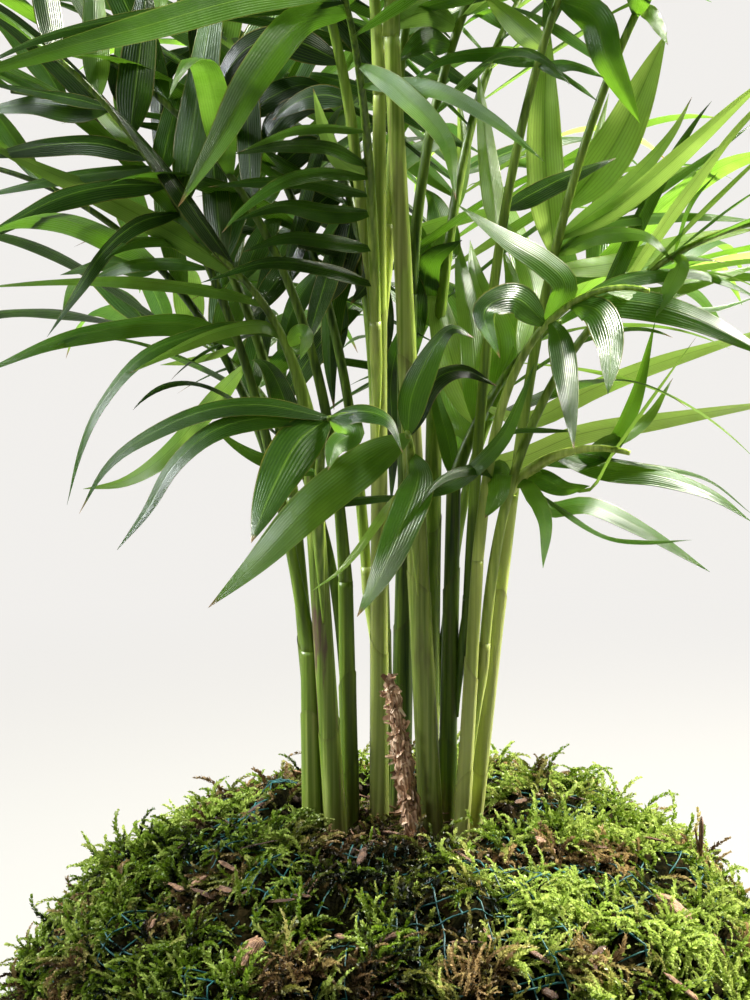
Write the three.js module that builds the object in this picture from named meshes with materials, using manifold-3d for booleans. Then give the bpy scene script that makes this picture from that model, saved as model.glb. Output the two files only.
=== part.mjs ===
// A kokedama: a clump of parlour palms growing out of a ball of soil that is wrapped in sheet moss and netting.
// Millimetres, +Z up. The origin is the middle of the flat foot that the ball rests on. The front faces -Y.

import * as THREE from 'three';
import { mergeVertices } from 'three/addons/utils/BufferGeometryUtils.js';
import Module from 'manifold-3d';

const wasm = await Module();
wasm.setup();

// ---------------------------------------------------------------- driving dimensions

const GAP = 0.35; // left between pieces that touch

// The moss wrap: a fat bun, fuller than an ellipse above its widest ring, cut off flat at the foot.
const MOSS = {
  radius: 99, // at the widest ring
  widest: 59, // height of the widest ring
  rise: 65, // from the widest ring to where the top would close
  depth: 66.5, // the same downwards, before the foot is cut flat
  full: 2.2, // 2 is an ellipse, and more is fuller
  foot: 44, // radius of the flat foot
  mouth: 33, // radius of the opening round the stems
  lip: 3, // how far the mouth narrows inwards
  thick: 11,
  floor: 9,
  columns: 32,
  rows: 11,
};
const LUMP = { height: 2.0, lean: 2.0, seed: 11 }; // moss cushions, and how much the right shoulder stands out
const SOIL = { crown: 116, rim: 113, columns: 16, rows: 5 }; // heights of the bare soil between the stems
const NET = { thick: 1.3, meridians: 8, hoops: [4, 8] };

// Palm stems: where each one leaves the soil, which way and how far it leans, how tall and how thick it is.
const STEM = { sunk: 22, sides: 6, steps: 4, taper: 0.74 };
const STEMS = [
  { x: -21, y: -6, heading: 180, lean: 1, tall: 50, radius: 3.1 },
  { x: -15, y: -9, heading: 180, lean: 3.5, tall: 108, radius: 2.9 },
  { x: -11.5, y: -1, heading: 180, lean: 1, tall: 66, radius: 2.6 },
  { x: -4, y: 2, heading: 90, lean: 1, tall: 190, radius: 2.5 },
  { x: 1.5, y: 9, heading: 60, lean: 2, tall: 140, radius: 2.9 },
  { x: 9.5, y: -7, heading: 172, lean: 3, tall: 205, radius: 3.1 },
  { x: 13.5, y: 1, heading: 60, lean: 2, tall: 90, radius: 2.5 },
  { x: 17, y: -9, heading: 350, lean: 3, tall: 74, radius: 2.1 },
  { x: 20, y: -3, heading: 5, lean: 6, tall: 90, radius: 2.4 },
  { x: 9, y: 19, heading: 80, lean: 5, tall: 118, radius: 2.8 },
  { x: -2, y: 16, heading: 110, lean: 4, tall: 98, radius: 2.6 },
  { x: -19, y: 5, heading: 165, lean: 5, tall: 88, radius: 2.4 },
];

// Fronds: the stem and the height on it (no height is its top), the heading in degrees (0 is right and 90 is
// back), the slope where the stalk starts and where the frond ends, the bare stalk and the leafy length. The
// leaflets of the front fronds are laid out one by one: the place on the stalk, the tip's x, y and z, the width,
// how high it arches over the straight line to the tip, and how far it rolls. The others have pairs by a rule.
const FRONDS = [
  {
    stem: 1, heading: 186, rise: 80, fall: 40, stalk: 72, leafy: 92, bend: 2.2,
    leaves: [
      [84, -107, -15, 231, 9, 8, 0], [112, -88, -40, 246, 9, 12, 10], [140, -108, -5, 284, 7, 5, -20],
      [128, -104, -25, 266, 8, 6, 0], [150, -105, 5, 302, 6, 3, 20], [138, -62, 18, 332, 12, 2, 20],
      [150, -76, 10, 338, 9, 2, 10], [116, -36, 8, 335, 14, 3, 15], [162, -110, -20, 328, 9, 4, 0],
      [164, -92, 12, 346, 9, 3, 0], [98, -34, 26, 292, 10, 4, 0], [126, -52, 34, 312, 10, 4, 0],
    ],
  },
  {
    stem: 2, heading: 190, rise: 78, fall: 35, stalk: 14, leafy: 36, bend: 1.5,
    leaves: [
      [15, -83, -30, 201, 8, 20, 15], [32, -107, -5, 256, 6, 3, -30], [42, -108, 0, 294, 8, 2, -40],
      [49, -110, 10, 318, 8, 1, -30], [20, -74, 12, 203, 11, 2, 0], [25, -58, 14, 232, 5, 3, 0],
      [40, -30, 44, 272, 9, 5, 0], [47, -52, 46, 292, 9, 5, 0],
    ],
  },
  {
    stem: 2, at: 84, heading: 280, rise: 85, fall: 12, stalk: 22, leafy: 15, bend: 1.6,
    leaves: [
      [27, -76, -40, 205, 6, 12, -20], [30, -66, -50, 197, 8, 11, -10], [33, -33, -60, 201, 14, 5, 0],
      [36, 2, -42, 219, 7, 5, 0],
    ],
  },
  {
    stem: 6, at: 90, heading: 262, rise: 86, fall: 20, stalk: 6, leafy: 15, bend: 1.6,
    leaves: [
      [10, -46, -32, 180, 12, 4, 10], [16, -9, -68, 186, 11, 8, 0], [7, -20, -56, 190, 5, 3, 0],
      [20, 34, -25, 240, 10, -4, 45], [17, 21, -22, 262, 9, 2, 50],
    ],
  },
  {
    stem: 9, heading: 335, rise: 50, fall: -12, stalk: 4, leafy: 31, bend: 1,
    leaves: [
      [5, 6, -40, 204, 9, 3, 0], [10, 35, -45, 193, 8, 8, 0], [22, 72, -28, 196, 5, -2, 60],
      [26, 90, 5, 197, 7, 8, 0], [16, 79, 12, 183, 7, 6, 0], [30, 66, -12, 241, 9, -6, -20],
      [34, 78, -20, 243, 5, -7, 60],
    ],
  },
  {
    stem: 8, heading: 338, rise: 84, fall: -15, stalk: 56, leafy: 36, bend: 2.6,
    leaves: [
      [59, 1, -47, 227, 9, 9, 0], [62, 19, -60, 251, 12, 5, 0], [66, 27, -54, 243, 8, 6, 0],
      [72, 42, -48, 221, 10, 8, 0], [80, 51, -40, 233, 11, 9, 0], [90, 98, -12, 235, 10, 9, 0],
      [84, 94, 10, 254, 7, 8, 0], [75, 14, -36, 279, 11, 6, 30], [70, 22, 12, 308, 8, 0, 0],
      [78, 44, 26, 300, 8, 2, 0],
    ],
  },
  {
    stem: 7, heading: 25, rise: 70, fall: 30, stalk: 14, leafy: 38, bend: 1.3,
    leaves: [
      [20, 104, 34, 224, 9, 2, -30], [34, 101, 36, 242, 9, 2, -30], [28, 52, 42, 254, 9, 0, 0],
      [44, 42, 36, 266, 9, -2, 0], [50, 84, 62, 262, 9, 3, 0], [38, 22, 60, 258, 9, 3, 0],
    ],
  },
  {
    stem: 4, at: 126, heading: 258, rise: 86, fall: 35, stalk: 14, leafy: 84, bend: 1.6,
    leaves: [
      [16, -48, -22, 257, 8, 5, 10], [26, -38, -26, 267, 7, 4, 0], [36, -41, -24, 273, 7, 3, 0],
      [48, -43, -34, 271, 8, 8, 0], [60, -40, -30, 290, 9, 3, -10], [70, -42, -40, 292, 8, 5, 0],
      [97, -48, -92, 281, 13, 12, 10], [92, 13, -82, 290, 10, 8, 0], [98, -90, -100, 306, 14, 12, 0],
      [82, 34, -58, 334, 10, 6, 0], [88, -40, -50, 348, 10, 5, 0],
    ],
  },
  {
    stem: 8, at: 46, beside: 40, heading: 4, rise: 86, fall: 10, stalk: 66, leafy: 78,
    leaves: [
      [68, 38, 18, 312, 10, 0, 0], [76, 24, 22, 306, 8, 1, 0], [84, 64, 16, 320, 10, 0, 0],
      [90, 82, 24, 304, 8, 3, 0], [98, 101, 16, 309, 9, 4, 0], [106, 105, 4, 299, 6, 3, 0],
      [116, 107, -10, 286, 7, 5, 0], [126, 108, -24, 276, 6, 4, 0], [134, 110, 14, 268, 7, 4, 0],
      [142, 112, 0, 277, 6, 3, 0], [94, 72, -44, 246, 7, 6, 20], [110, 88, 34, 243, 9, 4, 0],
    ],
  },
  // to the left and the back
  { stem: 3, heading: 178, rise: 86, fall: 22, stalk: 60, leafy: 104, pairs: 7, leaflet: 98 },
  { stem: 12, heading: 160, rise: 80, fall: 5, stalk: 44, leafy: 96, pairs: 6, leaflet: 92 },
  {
    stem: 12, at: 40, beside: 90, heading: 172, rise: 84, fall: 12, stalk: 72, leafy: 96, pairs: 7, leaflet: 94,
  },
  { stem: 11, heading: 112, rise: 82, fall: 0, stalk: 40, leafy: 96, pairs: 6, leaflet: 92 },
  { stem: 11, at: 60, heading: 142, rise: 85, fall: 20, stalk: 88, leafy: 102, pairs: 7, leaflet: 96 },
  {
    stem: 3, at: 30, beside: 95, heading: 138, rise: 86, fall: -6, stalk: 62, leafy: 74, pairs: 5, leaflet: 88,
  },
  { stem: 10, at: 70, heading: 82, rise: 84, fall: -5, stalk: 46, leafy: 96, pairs: 6, leaflet: 92 },
  // to the right
  { stem: 10, heading: 58, rise: 80, fall: 10, stalk: 50, leafy: 104, pairs: 6, leaflet: 96 },
  { stem: 5, heading: 28, rise: 84, fall: 22, stalk: 40, leafy: 108, pairs: 7, leaflet: 98 },
  {
    stem: 10, at: 50, beside: 20, heading: 36, rise: 84, fall: -8, stalk: 52, leafy: 80, pairs: 5, leaflet: 88,
  },
  {
    stem: 7, at: 56, heading: 340, rise: 87, fall: 38, stalk: 150, leafy: 110, pairs: 6, leaflet: 98, bend: 2.2,
  },
  {
    stem: 9, at: 50, beside: 80, heading: 2, rise: 84, fall: 32, stalk: 150, leafy: 110, pairs: 6, leaflet: 98,
    bend: 2.2,
  },
  // the top
  { stem: 5, at: 96, heading: 100, rise: 87, fall: 30, stalk: 104, leafy: 110, pairs: 6, leaflet: 98 },
  { stem: 4, heading: 150, rise: 87, fall: 36, stalk: 36, leafy: 112, pairs: 7, leaflet: 98 },
  { stem: 6, heading: 290, rise: 84, fall: 26, stalk: 36, leafy: 104, pairs: 6, leaflet: 96 },
  { stem: 4, at: 158, heading: 196, rise: 84, fall: 20, stalk: 50, leafy: 106, pairs: 7, leaflet: 98 },
  { stem: 4, at: 150, heading: 60, rise: 85, fall: 24, stalk: 56, leafy: 104, pairs: 6, leaflet: 96 },
];
const STALK = {
  radius: 1.6,
  tip: 0.85,
  sides: 4,
  step: 45, // its rings are at most so far apart
  turn: 16, // and its way turns at most so many degrees between them
  bend: 1.7,
};
const LEAFLET = {
  wide: [0.1, 0.135], // of its length
  root: 0.45, // half its width where it leaves the rib
  rib: [0.35, 0.55], // half its thickness along the middle, at the root and beyond it
  foldDown: 0.1, // how far the edges hang below the middle, of the width
  laid: [0, 0.22, 0.47, 0.74, 1], // shares of its length with a ring, if it is laid out, and if by rule
  ruled: [0, 0.3, 0.66, 1],
  angles: [72, 22], // from the frond's rib, at its first and last pair, in degrees
  lift: [4, 24], // above the plane of the frond
  droop: [0.08, 0.34], // how far the tip comes down, of its length
  arch: [0.07, 0.16], // of its length
  roll: [-38, 38],
  twist: [-24, 24],
  seed: 5,
};
// What is tried in turn until a leaflet is clear of what is built: degrees up, degrees round and the length.
const DODGES = [
  [0, 0, 1], [8, 0, 1], [-8, 0, 1], [0, 8, 1], [0, -8, 1], [14, 8, 1], [-14, -8, 1], [14, -8, 1], [-14, 8, 1],
  [24, 0, 1], [-24, 0, 1], [0, 0, 0.7], [12, 10, 0.7], [-12, -10, 0.7], [28, 14, 0.7], [-28, -14, 0.7],
];

const DRY_SHEATH = { x: 6, y: -14, heading: 188, rise: 84, fall: 80, tall: 54, radius: 3.2, seed: 3 };
const CHIPS = [
  { column: 4.5, row: 8.5, size: [9, 5, 2.2], turn: 20 },
  { column: 29.5, row: 8.5, size: [11, 4, 2], turn: -35 },
  { column: 21.5, row: 8.5, size: [12, 4.5, 2.2], turn: 60 },
  { column: 13.5, row: 7.5, size: [8, 6, 2], turn: 10 },
];

const MATERIALS = {
  moss: { color: 0x5d7a26, roughness: 0.95, metalness: 0 },
  soil: { color: 0x2e2018, roughness: 1, metalness: 0 },
  net: { color: 0x1f6a5a, roughness: 0.5, metalness: 0 },
  stem: { color: 0x7f9a48, roughness: 0.5, metalness: 0 },
  frond: { color: 0x3d7a26, roughness: 0.4, metalness: 0 },
  dry: { color: 0x9a6a42, roughness: 0.9, metalness: 0 },
};

// ---------------------------------------------------------------- small helpers

const UP = new THREE.Vector3(0, 0, 1);
const rad = THREE.MathUtils.degToRad;
const mix = THREE.MathUtils.lerp;

/** A stream of numbers from 0 to 1 that is the same for the same seed. */
function seeded(seed) {
  let state = (Math.imul(seed, 7919) + 12345) >>> 0;
  return () => {
    state = (Math.imul(state, 1664525) + 1013904223) >>> 0;
    return state / 4294967296;
  };
}

/** The solid that a closed geometry bounds. */
function solidOf(geometry) {
  const bare = new THREE.BufferGeometry();
  bare.setAttribute('position', geometry.getAttribute('position'));
  bare.setIndex(geometry.index);
  const merged = mergeVertices(bare, 1e-3);
  return new wasm.Manifold(new wasm.Mesh({
    numProp: 3,
    vertProperties: merged.attributes.position.array,
    triVerts: new Uint32Array(merged.index.array),
  }));
}

/** The geometry of a solid, for a three.js mesh. */
function geometryOf(solid) {
  const mesh = solid.getMesh();
  const geometry = new THREE.BufferGeometry();
  geometry.setAttribute('position', new THREE.BufferAttribute(new Float32Array(mesh.vertProperties), 3));
  geometry.setIndex(new THREE.BufferAttribute(new Uint32Array(mesh.triVerts), 1));
  geometry.computeVertexNormals();
  return geometry;
}

/** The largest body of a solid, which drops the scraps that a cut leaves. */
function largest(solid) {
  return solid.decompose().reduce((best, body) => (body.volume() > best.volume() ? body : best));
}

function mesh(name, solid, look) {
  const made = new THREE.Mesh(geometryOf(solid), new THREE.MeshStandardMaterial(MATERIALS[look]));
  made.name = name;
  return made;
}

/**
 * A closed skin through rings of points, which run counter-clockwise seen from the last ring. A ring of one
 * point is a tip. Each square is split from its even corner, so that both faces of a thin blade split alike.
 */
function loft(rings) {
  const position = [];
  const index = [];
  const starts = rings.map((ring) => {
    const start = position.length / 3;
    ring.forEach((point) => position.push(point.x, point.y, point.z));
    return start;
  });
  for (let i = 0; i + 1 < rings.length; i += 1) {
    const count = Math.max(rings[i].length, rings[i + 1].length);
    for (let k = 0; k < count; k += 1) {
      const next = (k + 1) % count;
      const [a, b] = [k, next].map((c) => starts[i] + (rings[i].length > 1 ? c : 0));
      const [c, d] = [k, next].map((e) => starts[i + 1] + (rings[i + 1].length > 1 ? e : 0));
      const pair = k % 2 ? [[a, b, c], [b, d, c]] : [[a, b, d], [a, d, c]];
      pair.filter((t) => new Set(t).size === 3).forEach((t) => index.push(...t));
    }
  }
  const first = rings[0];
  const last = rings[rings.length - 1];
  for (let k = 1; k + 1 < first.length; k += 1) index.push(starts[0], starts[0] + k + 1, starts[0] + k);
  const end = starts[rings.length - 1];
  for (let k = 1; k + 1 < last.length; k += 1) index.push(end, end + k, end + k + 1);
  const geometry = new THREE.BufferGeometry();
  geometry.setAttribute('position', new THREE.Float32BufferAttribute(position, 3));
  geometry.setIndex(index);
  return geometry;
}

// ---------------------------------------------------------------- stalks

/** A stalk's middle line: it sets off at one slope and bends in its upright plane to another. */
class Line {
  constructor({ start, heading, rise, fall, length, bend = STALK.bend }) {
    this.length = length;
    this.steps = 64;
    const flat = new THREE.Vector3(Math.cos(rad(heading)), Math.sin(rad(heading)), 0);
    this.side = new THREE.Vector3().crossVectors(flat, UP);
    this.points = [start.clone()];
    this.ways = [];
    for (let i = 0; i <= this.steps; i += 1) {
      const slope = rad(mix(rise, fall, (i / this.steps) ** bend));
      this.ways.push(flat.clone().multiplyScalar(Math.cos(slope)).addScaledVector(UP, Math.sin(slope)));
      if (i > 0) {
        const step = this.ways[i - 1].clone().add(this.ways[i]).multiplyScalar(0.5 * length / this.steps);
        this.points.push(this.points[i - 1].clone().add(step));
      }
    }
  }

  /** The point, way, side and upper side at a length along the line. */
  at(along) {
    const share = THREE.MathUtils.clamp(along / this.length, 0, 1) * this.steps;
    const i = Math.min(Math.floor(share), this.steps - 1);
    const way = this.ways[i].clone().lerp(this.ways[i + 1], share - i).normalize();
    const up = new THREE.Vector3().crossVectors(this.side, way);
    return { point: this.points[i].clone().lerp(this.points[i + 1], share - i), way, side: this.side, up };
  }
}

/** A round stalk through shares of a stretch of line, with its radius given by the share. */
function stalk(line, from, to, shares, sides, radiusAt) {
  const rings = shares.map((share) => {
    const { point, side, up } = line.at(mix(from, to, share));
    const radius = radiusAt(share);
    return Array.from({ length: sides }, (_, k) => {
      const turn = (2 * Math.PI * (k + 0.5)) / sides;
      return point.clone()
        .addScaledVector(side, radius * Math.cos(turn))
        .addScaledVector(up, radius * Math.sin(turn));
    });
  });
  return loft(rings.map((ring) => ring.reverse()));
}

const evenShares = (steps) => Array.from({ length: steps + 1 }, (_, i) => i / steps);

/** Shares of a line that lie closer where it bends, so that none of its straight stretches turns far. */
function bentShares(line) {
  const worth = [0];
  for (let i = 0; i < line.steps; i += 1) {
    const turn = line.ways[i].angleTo(line.ways[i + 1]);
    worth.push(worth[i] + line.length / line.steps / STALK.step + turn / rad(STALK.turn));
  }
  const count = Math.ceil(worth[line.steps]);
  return evenShares(count).map((share) => {
    const wanted = share * worth[line.steps];
    const i = Math.max(1, worth.findIndex((value) => value >= wanted - 1e-9));
    return (i - 1 + (wanted - worth[i - 1]) / (worth[i] - worth[i - 1])) / line.steps;
  });
}

// ---------------------------------------------------------------- the ball

/** The moss wrap's outline at an angle above or below the widest ring, taken in by a thickness. */
function outline(angle, inset = 0) {
  const full = (value) => Math.sign(value) * Math.abs(value) ** (2 / MOSS.full);
  const reach = angle > 0 ? MOSS.rise - inset : MOSS.depth - inset * (MOSS.floor / MOSS.thick);
  const radius = (MOSS.radius - inset) * full(Math.cos(angle));
  return new THREE.Vector2(radius, MOSS.widest + reach * full(Math.sin(angle)));
}

/** Angles from the foot to the mouth at which the outline has the foot's and the mouth's radius. */
function outlineAngles(foot, mouth, inset, rows) {
  const angleOf = (radius) => Math.acos((radius / (MOSS.radius - inset)) ** (MOSS.full / 2));
  return Array.from({ length: rows + 1 }, (_, i) => mix(-angleOf(foot), angleOf(mouth), i / rows));
}

const MOSS_ANGLES = outlineAngles(MOSS.foot, MOSS.mouth, 0, MOSS.rows);
const lumpDraw = seeded(LUMP.seed);
const LUMPS = MOSS_ANGLES.map((_, row) => Array.from({ length: MOSS.columns }, () => {
  const lump = LUMP.height * (2 * lumpDraw() - 1);
  return row < 2 || row === MOSS.rows ? 0 : lump;
}));

/** A point of the moss surface at a row and column of its grid, pushed out or in by its cushion. */
function mossPoint(row, column, out = 0) {
  const angle = MOSS_ANGLES[row];
  const turn = (2 * Math.PI * column) / MOSS.columns;
  const flat = outline(angle);
  const shoulder = Math.max(0, Math.sin(2 * angle)) * LUMP.lean * Math.cos(turn);
  const lump = LUMPS[row][column % MOSS.columns] + out;
  const radius = flat.x + lump * Math.cos(angle) + shoulder;
  const height = flat.y + lump * Math.sin(angle) + shoulder;
  return new THREE.Vector3(radius * Math.cos(turn), radius * Math.sin(turn), height);
}

/** Turns a profile about Z. The profile runs from the axis round the outside and back to the axis. */
function turned(profile, columns) {
  return new THREE.LatheGeometry(profile, columns).rotateX(Math.PI / 2);
}

function mossWrap() {
  const inner = outlineAngles(MOSS.foot - 6, MOSS.mouth - MOSS.lip, MOSS.thick, SOIL.rows).map((angle) => (
    outline(angle, MOSS.thick)));
  inner[0].y = MOSS.floor;
  const outer = MOSS_ANGLES.map((angle) => outline(angle));
  outer[0].y = 0;
  const profile = [new THREE.Vector2(0, 0), ...outer, ...inner.reverse(), new THREE.Vector2(0, MOSS.floor)];
  const geometry = turned(profile, MOSS.columns);
  const at = geometry.getAttribute('position');
  const perColumn = profile.length;
  for (let i = 0; i < at.count; i += 1) {
    const row = (i % perColumn) - 1;
    const column = Math.round(Math.atan2(at.getY(i), at.getX(i)) / (2 * Math.PI) * MOSS.columns + MOSS.columns);
    if (row > 0 && row <= MOSS.rows) {
      const point = mossPoint(row, column % MOSS.columns);
      at.setXYZ(i, point.x, point.y, point.z);
    }
  }
  return solidOf(geometry);
}

function soilBall(holes) {
  const inset = MOSS.thick + GAP;
  const angles = outlineAngles(MOSS.foot - 6, MOSS.mouth - MOSS.lip, MOSS.thick, SOIL.rows);
  const side = angles.map((angle) => outline(angle, inset));
  side[0].set(side[0].x - GAP, MOSS.floor + GAP);
  const neck = side[side.length - 1].x;
  const profile = [
    new THREE.Vector2(0, MOSS.floor + GAP),
    ...side,
    new THREE.Vector2(neck, SOIL.rim),
    new THREE.Vector2(0, SOIL.crown),
  ];
  return solidOf(turned(profile, SOIL.columns)).subtract(wasm.Manifold.union(holes));
}

/** A strand of the net: a three-sided cord through points, with the way out of the ball at each. */
function strand(points, outs, closed) {
  const radius = NET.thick / 2;
  const rings = points.map((point, i) => {
    const before = points[closed ? (i + points.length - 1) % points.length : Math.max(i - 1, 0)];
    const after = points[closed ? (i + 1) % points.length : Math.min(i + 1, points.length - 1)];
    const way = after.clone().sub(before).normalize();
    const side = new THREE.Vector3().crossVectors(way, outs[i]).normalize();
    const out = new THREE.Vector3().crossVectors(side, way);
    return [0, 1, 2].map((k) => {
      const turn = Math.PI / 2 + (2 * Math.PI * k) / 3;
      return point.clone()
        .addScaledVector(side, radius * Math.cos(turn))
        .addScaledVector(out, radius * Math.sin(turn));
    }).reverse();
  });
  if (!closed) return solidOf(loft(rings));
  const half = Math.floor(rings.length / 2);
  const arcs = [rings.slice(0, half + 1), [...rings.slice(half), rings[0]]];
  return arcs.map((arc) => solidOf(loft(arc))).reduce((a, b) => a.add(b));
}

/** The net that holds the moss on: strands up the ball, joined by hoops. */
function net() {
  const lift = NET.thick / 2 + GAP + 0.35;
  const outOf = (point) => new THREE.Vector3(point.x, point.y, 1.6 * (point.z - MOSS.widest)).normalize();
  const through = (cells) => {
    const points = cells.map(([row, column]) => mossPoint(row, column, lift));
    return [points, points.map(outOf)];
  };
  const rows = Array.from({ length: MOSS.rows }, (_, i) => i + 1);
  const everyColumn = Array.from({ length: MOSS.columns }, (_, i) => i);
  const apart = MOSS.columns / NET.meridians;
  const ups = Array.from({ length: NET.meridians }, (_, m) => (
    strand(...through(rows.map((row) => [row, m * apart])), false)));
  const hoops = NET.hoops.map((row) => strand(...through(everyColumn.map((column) => [row, column])), true));
  return largest(wasm.Manifold.union([...ups, ...hoops]));
}

/** A flat splinter of bark that lies on the moss between the strands of the net. */
function chip({ column, row, size, turn }) {
  const corners = [[0, 0], [0, 1], [1, 0], [1, 1]].map(([r, c]) => (
    mossPoint(Math.floor(row) + r, (Math.floor(column) + c) % MOSS.columns)));
  const middle = corners.reduce((sum, p) => sum.add(p), new THREE.Vector3()).multiplyScalar(0.25);
  const out = new THREE.Vector3().crossVectors(
    corners[1].clone().sub(corners[0]),
    corners[2].clone().sub(corners[0]),
  ).normalize();
  if (out.dot(middle.clone().setZ(0)) < 0) out.negate();
  const top = Math.max(...corners.map((p) => p.clone().sub(middle).dot(out)));
  const [long, wide, thick] = size;
  const outlineOfChip = new THREE.Shape([
    new THREE.Vector2(-long / 2, -wide / 3),
    new THREE.Vector2(long / 3, -wide / 2),
    new THREE.Vector2(long / 2, wide / 6),
    new THREE.Vector2(-long / 4, wide / 2),
  ]);
  const geometry = new THREE.ExtrudeGeometry(outlineOfChip, { depth: thick, bevelEnabled: false });
  geometry.rotateZ(rad(turn));
  geometry.applyQuaternion(new THREE.Quaternion().setFromUnitVectors(UP, out));
  const foot = middle.clone().addScaledVector(out, top + GAP);
  geometry.translate(foot.x, foot.y, foot.z);
  geometry.setIndex(Array.from({ length: geometry.getAttribute('position').count }, (_, i) => i));
  return solidOf(geometry);
}

// ---------------------------------------------------------------- the palms

/** The height of the bare soil at a distance from the middle. */
function soilHeight(distance) {
  return mix(SOIL.crown, SOIL.rim, distance / (MOSS.mouth - MOSS.lip));
}

function stemLine({ x, y, heading, lean, tall }) {
  const flat = new THREE.Vector3(Math.cos(rad(heading)), Math.sin(rad(heading)), 0);
  const start = new THREE.Vector3(x, y, soilHeight(Math.hypot(x, y)) - STEM.sunk);
  start.addScaledVector(flat, -STEM.sunk * Math.tan(rad(lean)));
  return new Line({ start, heading, rise: 90 - lean, fall: 90 - lean, length: tall + STEM.sunk });
}

const stemRadius = (stem, share) => stem.radius * mix(1, STEM.taper, share);

function stemSolid(stem, line) {
  const radiusAt = (share) => stemRadius(stem, share);
  return solidOf(stalk(line, 0, line.length, evenShares(STEM.steps), STEM.sides, radiusAt));
}

/** The plain hole in the soil that a stem stands in. */
function stemHole(stem, line) {
  const wide = () => stem.radius / Math.cos(Math.PI / STEM.sides) + GAP;
  const hole = stalk(line, 0, STEM.sunk + 8, evenShares(1), STEM.sides, wide);
  hole.translate(0, 0, -GAP);
  return solidOf(hole);
}

/** How wide a leaflet is along its length, from 0 to 1: a narrow foot, a broad third and a long point. */
function leafletWidth(u) {
  return Math.sin(Math.PI * u ** 0.62) ** 0.8;
}

/** A leaflet's middle line at a share of its length, with the way along it, across it and out of its face. */
function leafletAt({ root, tip, arch, roll, twist }, u) {
  const chord = tip.clone().sub(root);
  const point = root.clone().addScaledVector(chord, u).addScaledVector(UP, arch * 2.6 * u * (1 - u * u));
  const way = chord.clone().addScaledVector(UP, arch * 2.6 * (1 - 3 * u * u)).normalize();
  const side = new THREE.Vector3(chord.y, -chord.x, 0).normalize();
  const turn = rad(roll + twist * u);
  side.applyAxisAngle(way, turn);
  return { point, side, face: new THREE.Vector3().crossVectors(side, way) };
}

/** A thin blade with a raised middle, through its stations to a point. */
function leafletSolid(leaflet, stations) {
  const rings = stations.map((u) => {
    const { point, side, face } = leafletAt(leaflet, u);
    if (u === 1) return [point];
    const half = Math.max(leaflet.wide * 0.5 * leafletWidth(u), LEAFLET.root);
    const rib = LEAFLET.rib[u === 0 ? 0 : 1];
    const down = LEAFLET.foldDown * half * 2;
    return [
      point.clone().addScaledVector(side, half).addScaledVector(face, -down),
      point.clone().addScaledVector(face, -rib),
      point.clone().addScaledVector(side, -half).addScaledVector(face, -down),
      point.clone().addScaledVector(face, rib),
    ];
  });
  return solidOf(loft(rings));
}

/** The same leaflet turned up and round its root, and shortened. */
function dodged(leaflet, [up, round, short]) {
  const chord = leaflet.tip.clone().sub(leaflet.root).multiplyScalar(short);
  const side = new THREE.Vector3(chord.y, -chord.x, 0).normalize();
  chord.applyAxisAngle(side, rad(up)).applyAxisAngle(UP, rad(round));
  return { ...leaflet, tip: leaflet.root.clone().add(chord), arch: leaflet.arch * short };
}

/** True if a solid shares no space with those already built. */
function isClear(solid, built) {
  const box = solid.boundingBox();
  return built.every((other) => {
    const apart = [0, 1, 2].some((k) => box.min[k] > other.box.max[k] || box.max[k] < other.box.min[k]);
    return apart || solid.intersect(other.solid).isEmpty();
  });
}

/** Where a frond's stalk runs: from beside its stem, or from the stem's top. */
function frondLine(frond) {
  const { heading, beside = heading, rise, fall, bend = STALK.bend } = frond;
  const stem = STEMS[frond.stem - 1];
  const line = stemLine(stem);
  const top = frond.at === undefined;
  const { point, way } = line.at(top ? line.length : frond.at + STEM.sunk);
  const clear = top ? GAP + stem.radius * Math.cos(rad(rise)) : stem.radius + STALK.radius + GAP;
  const out = top ? way : new THREE.Vector3(Math.cos(rad(beside)), Math.sin(rad(beside)), 0);
  const start = point.addScaledVector(out, clear);
  return new Line({ start, heading, rise, fall, length: frond.stalk + frond.leafy, bend });
}

/** The stalk and rib of a frond: as thick as the stem's top at its foot, or pointed beside the stem. */
function frondStalk(frond, line) {
  const foot = frond.at === undefined ? STEMS[frond.stem - 1].radius * STEM.taper : STALK.radius * 0.45;
  return solidOf(stalk(line, 0, line.length, bentShares(line), STALK.sides, (share) => (
    share === 0 ? foot : mix(STALK.radius, STALK.tip, share))));
}

/** The leaflets of a frond that are laid out one by one. */
function laidLeaflets(frond, line) {
  return frond.leaves.map(([along, x, y, z, wide, arch, roll]) => {
    const root = line.at(along).point;
    return { root, tip: new THREE.Vector3(x, y, z), arch, wide, roll, twist: 0 };
  });
}

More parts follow.
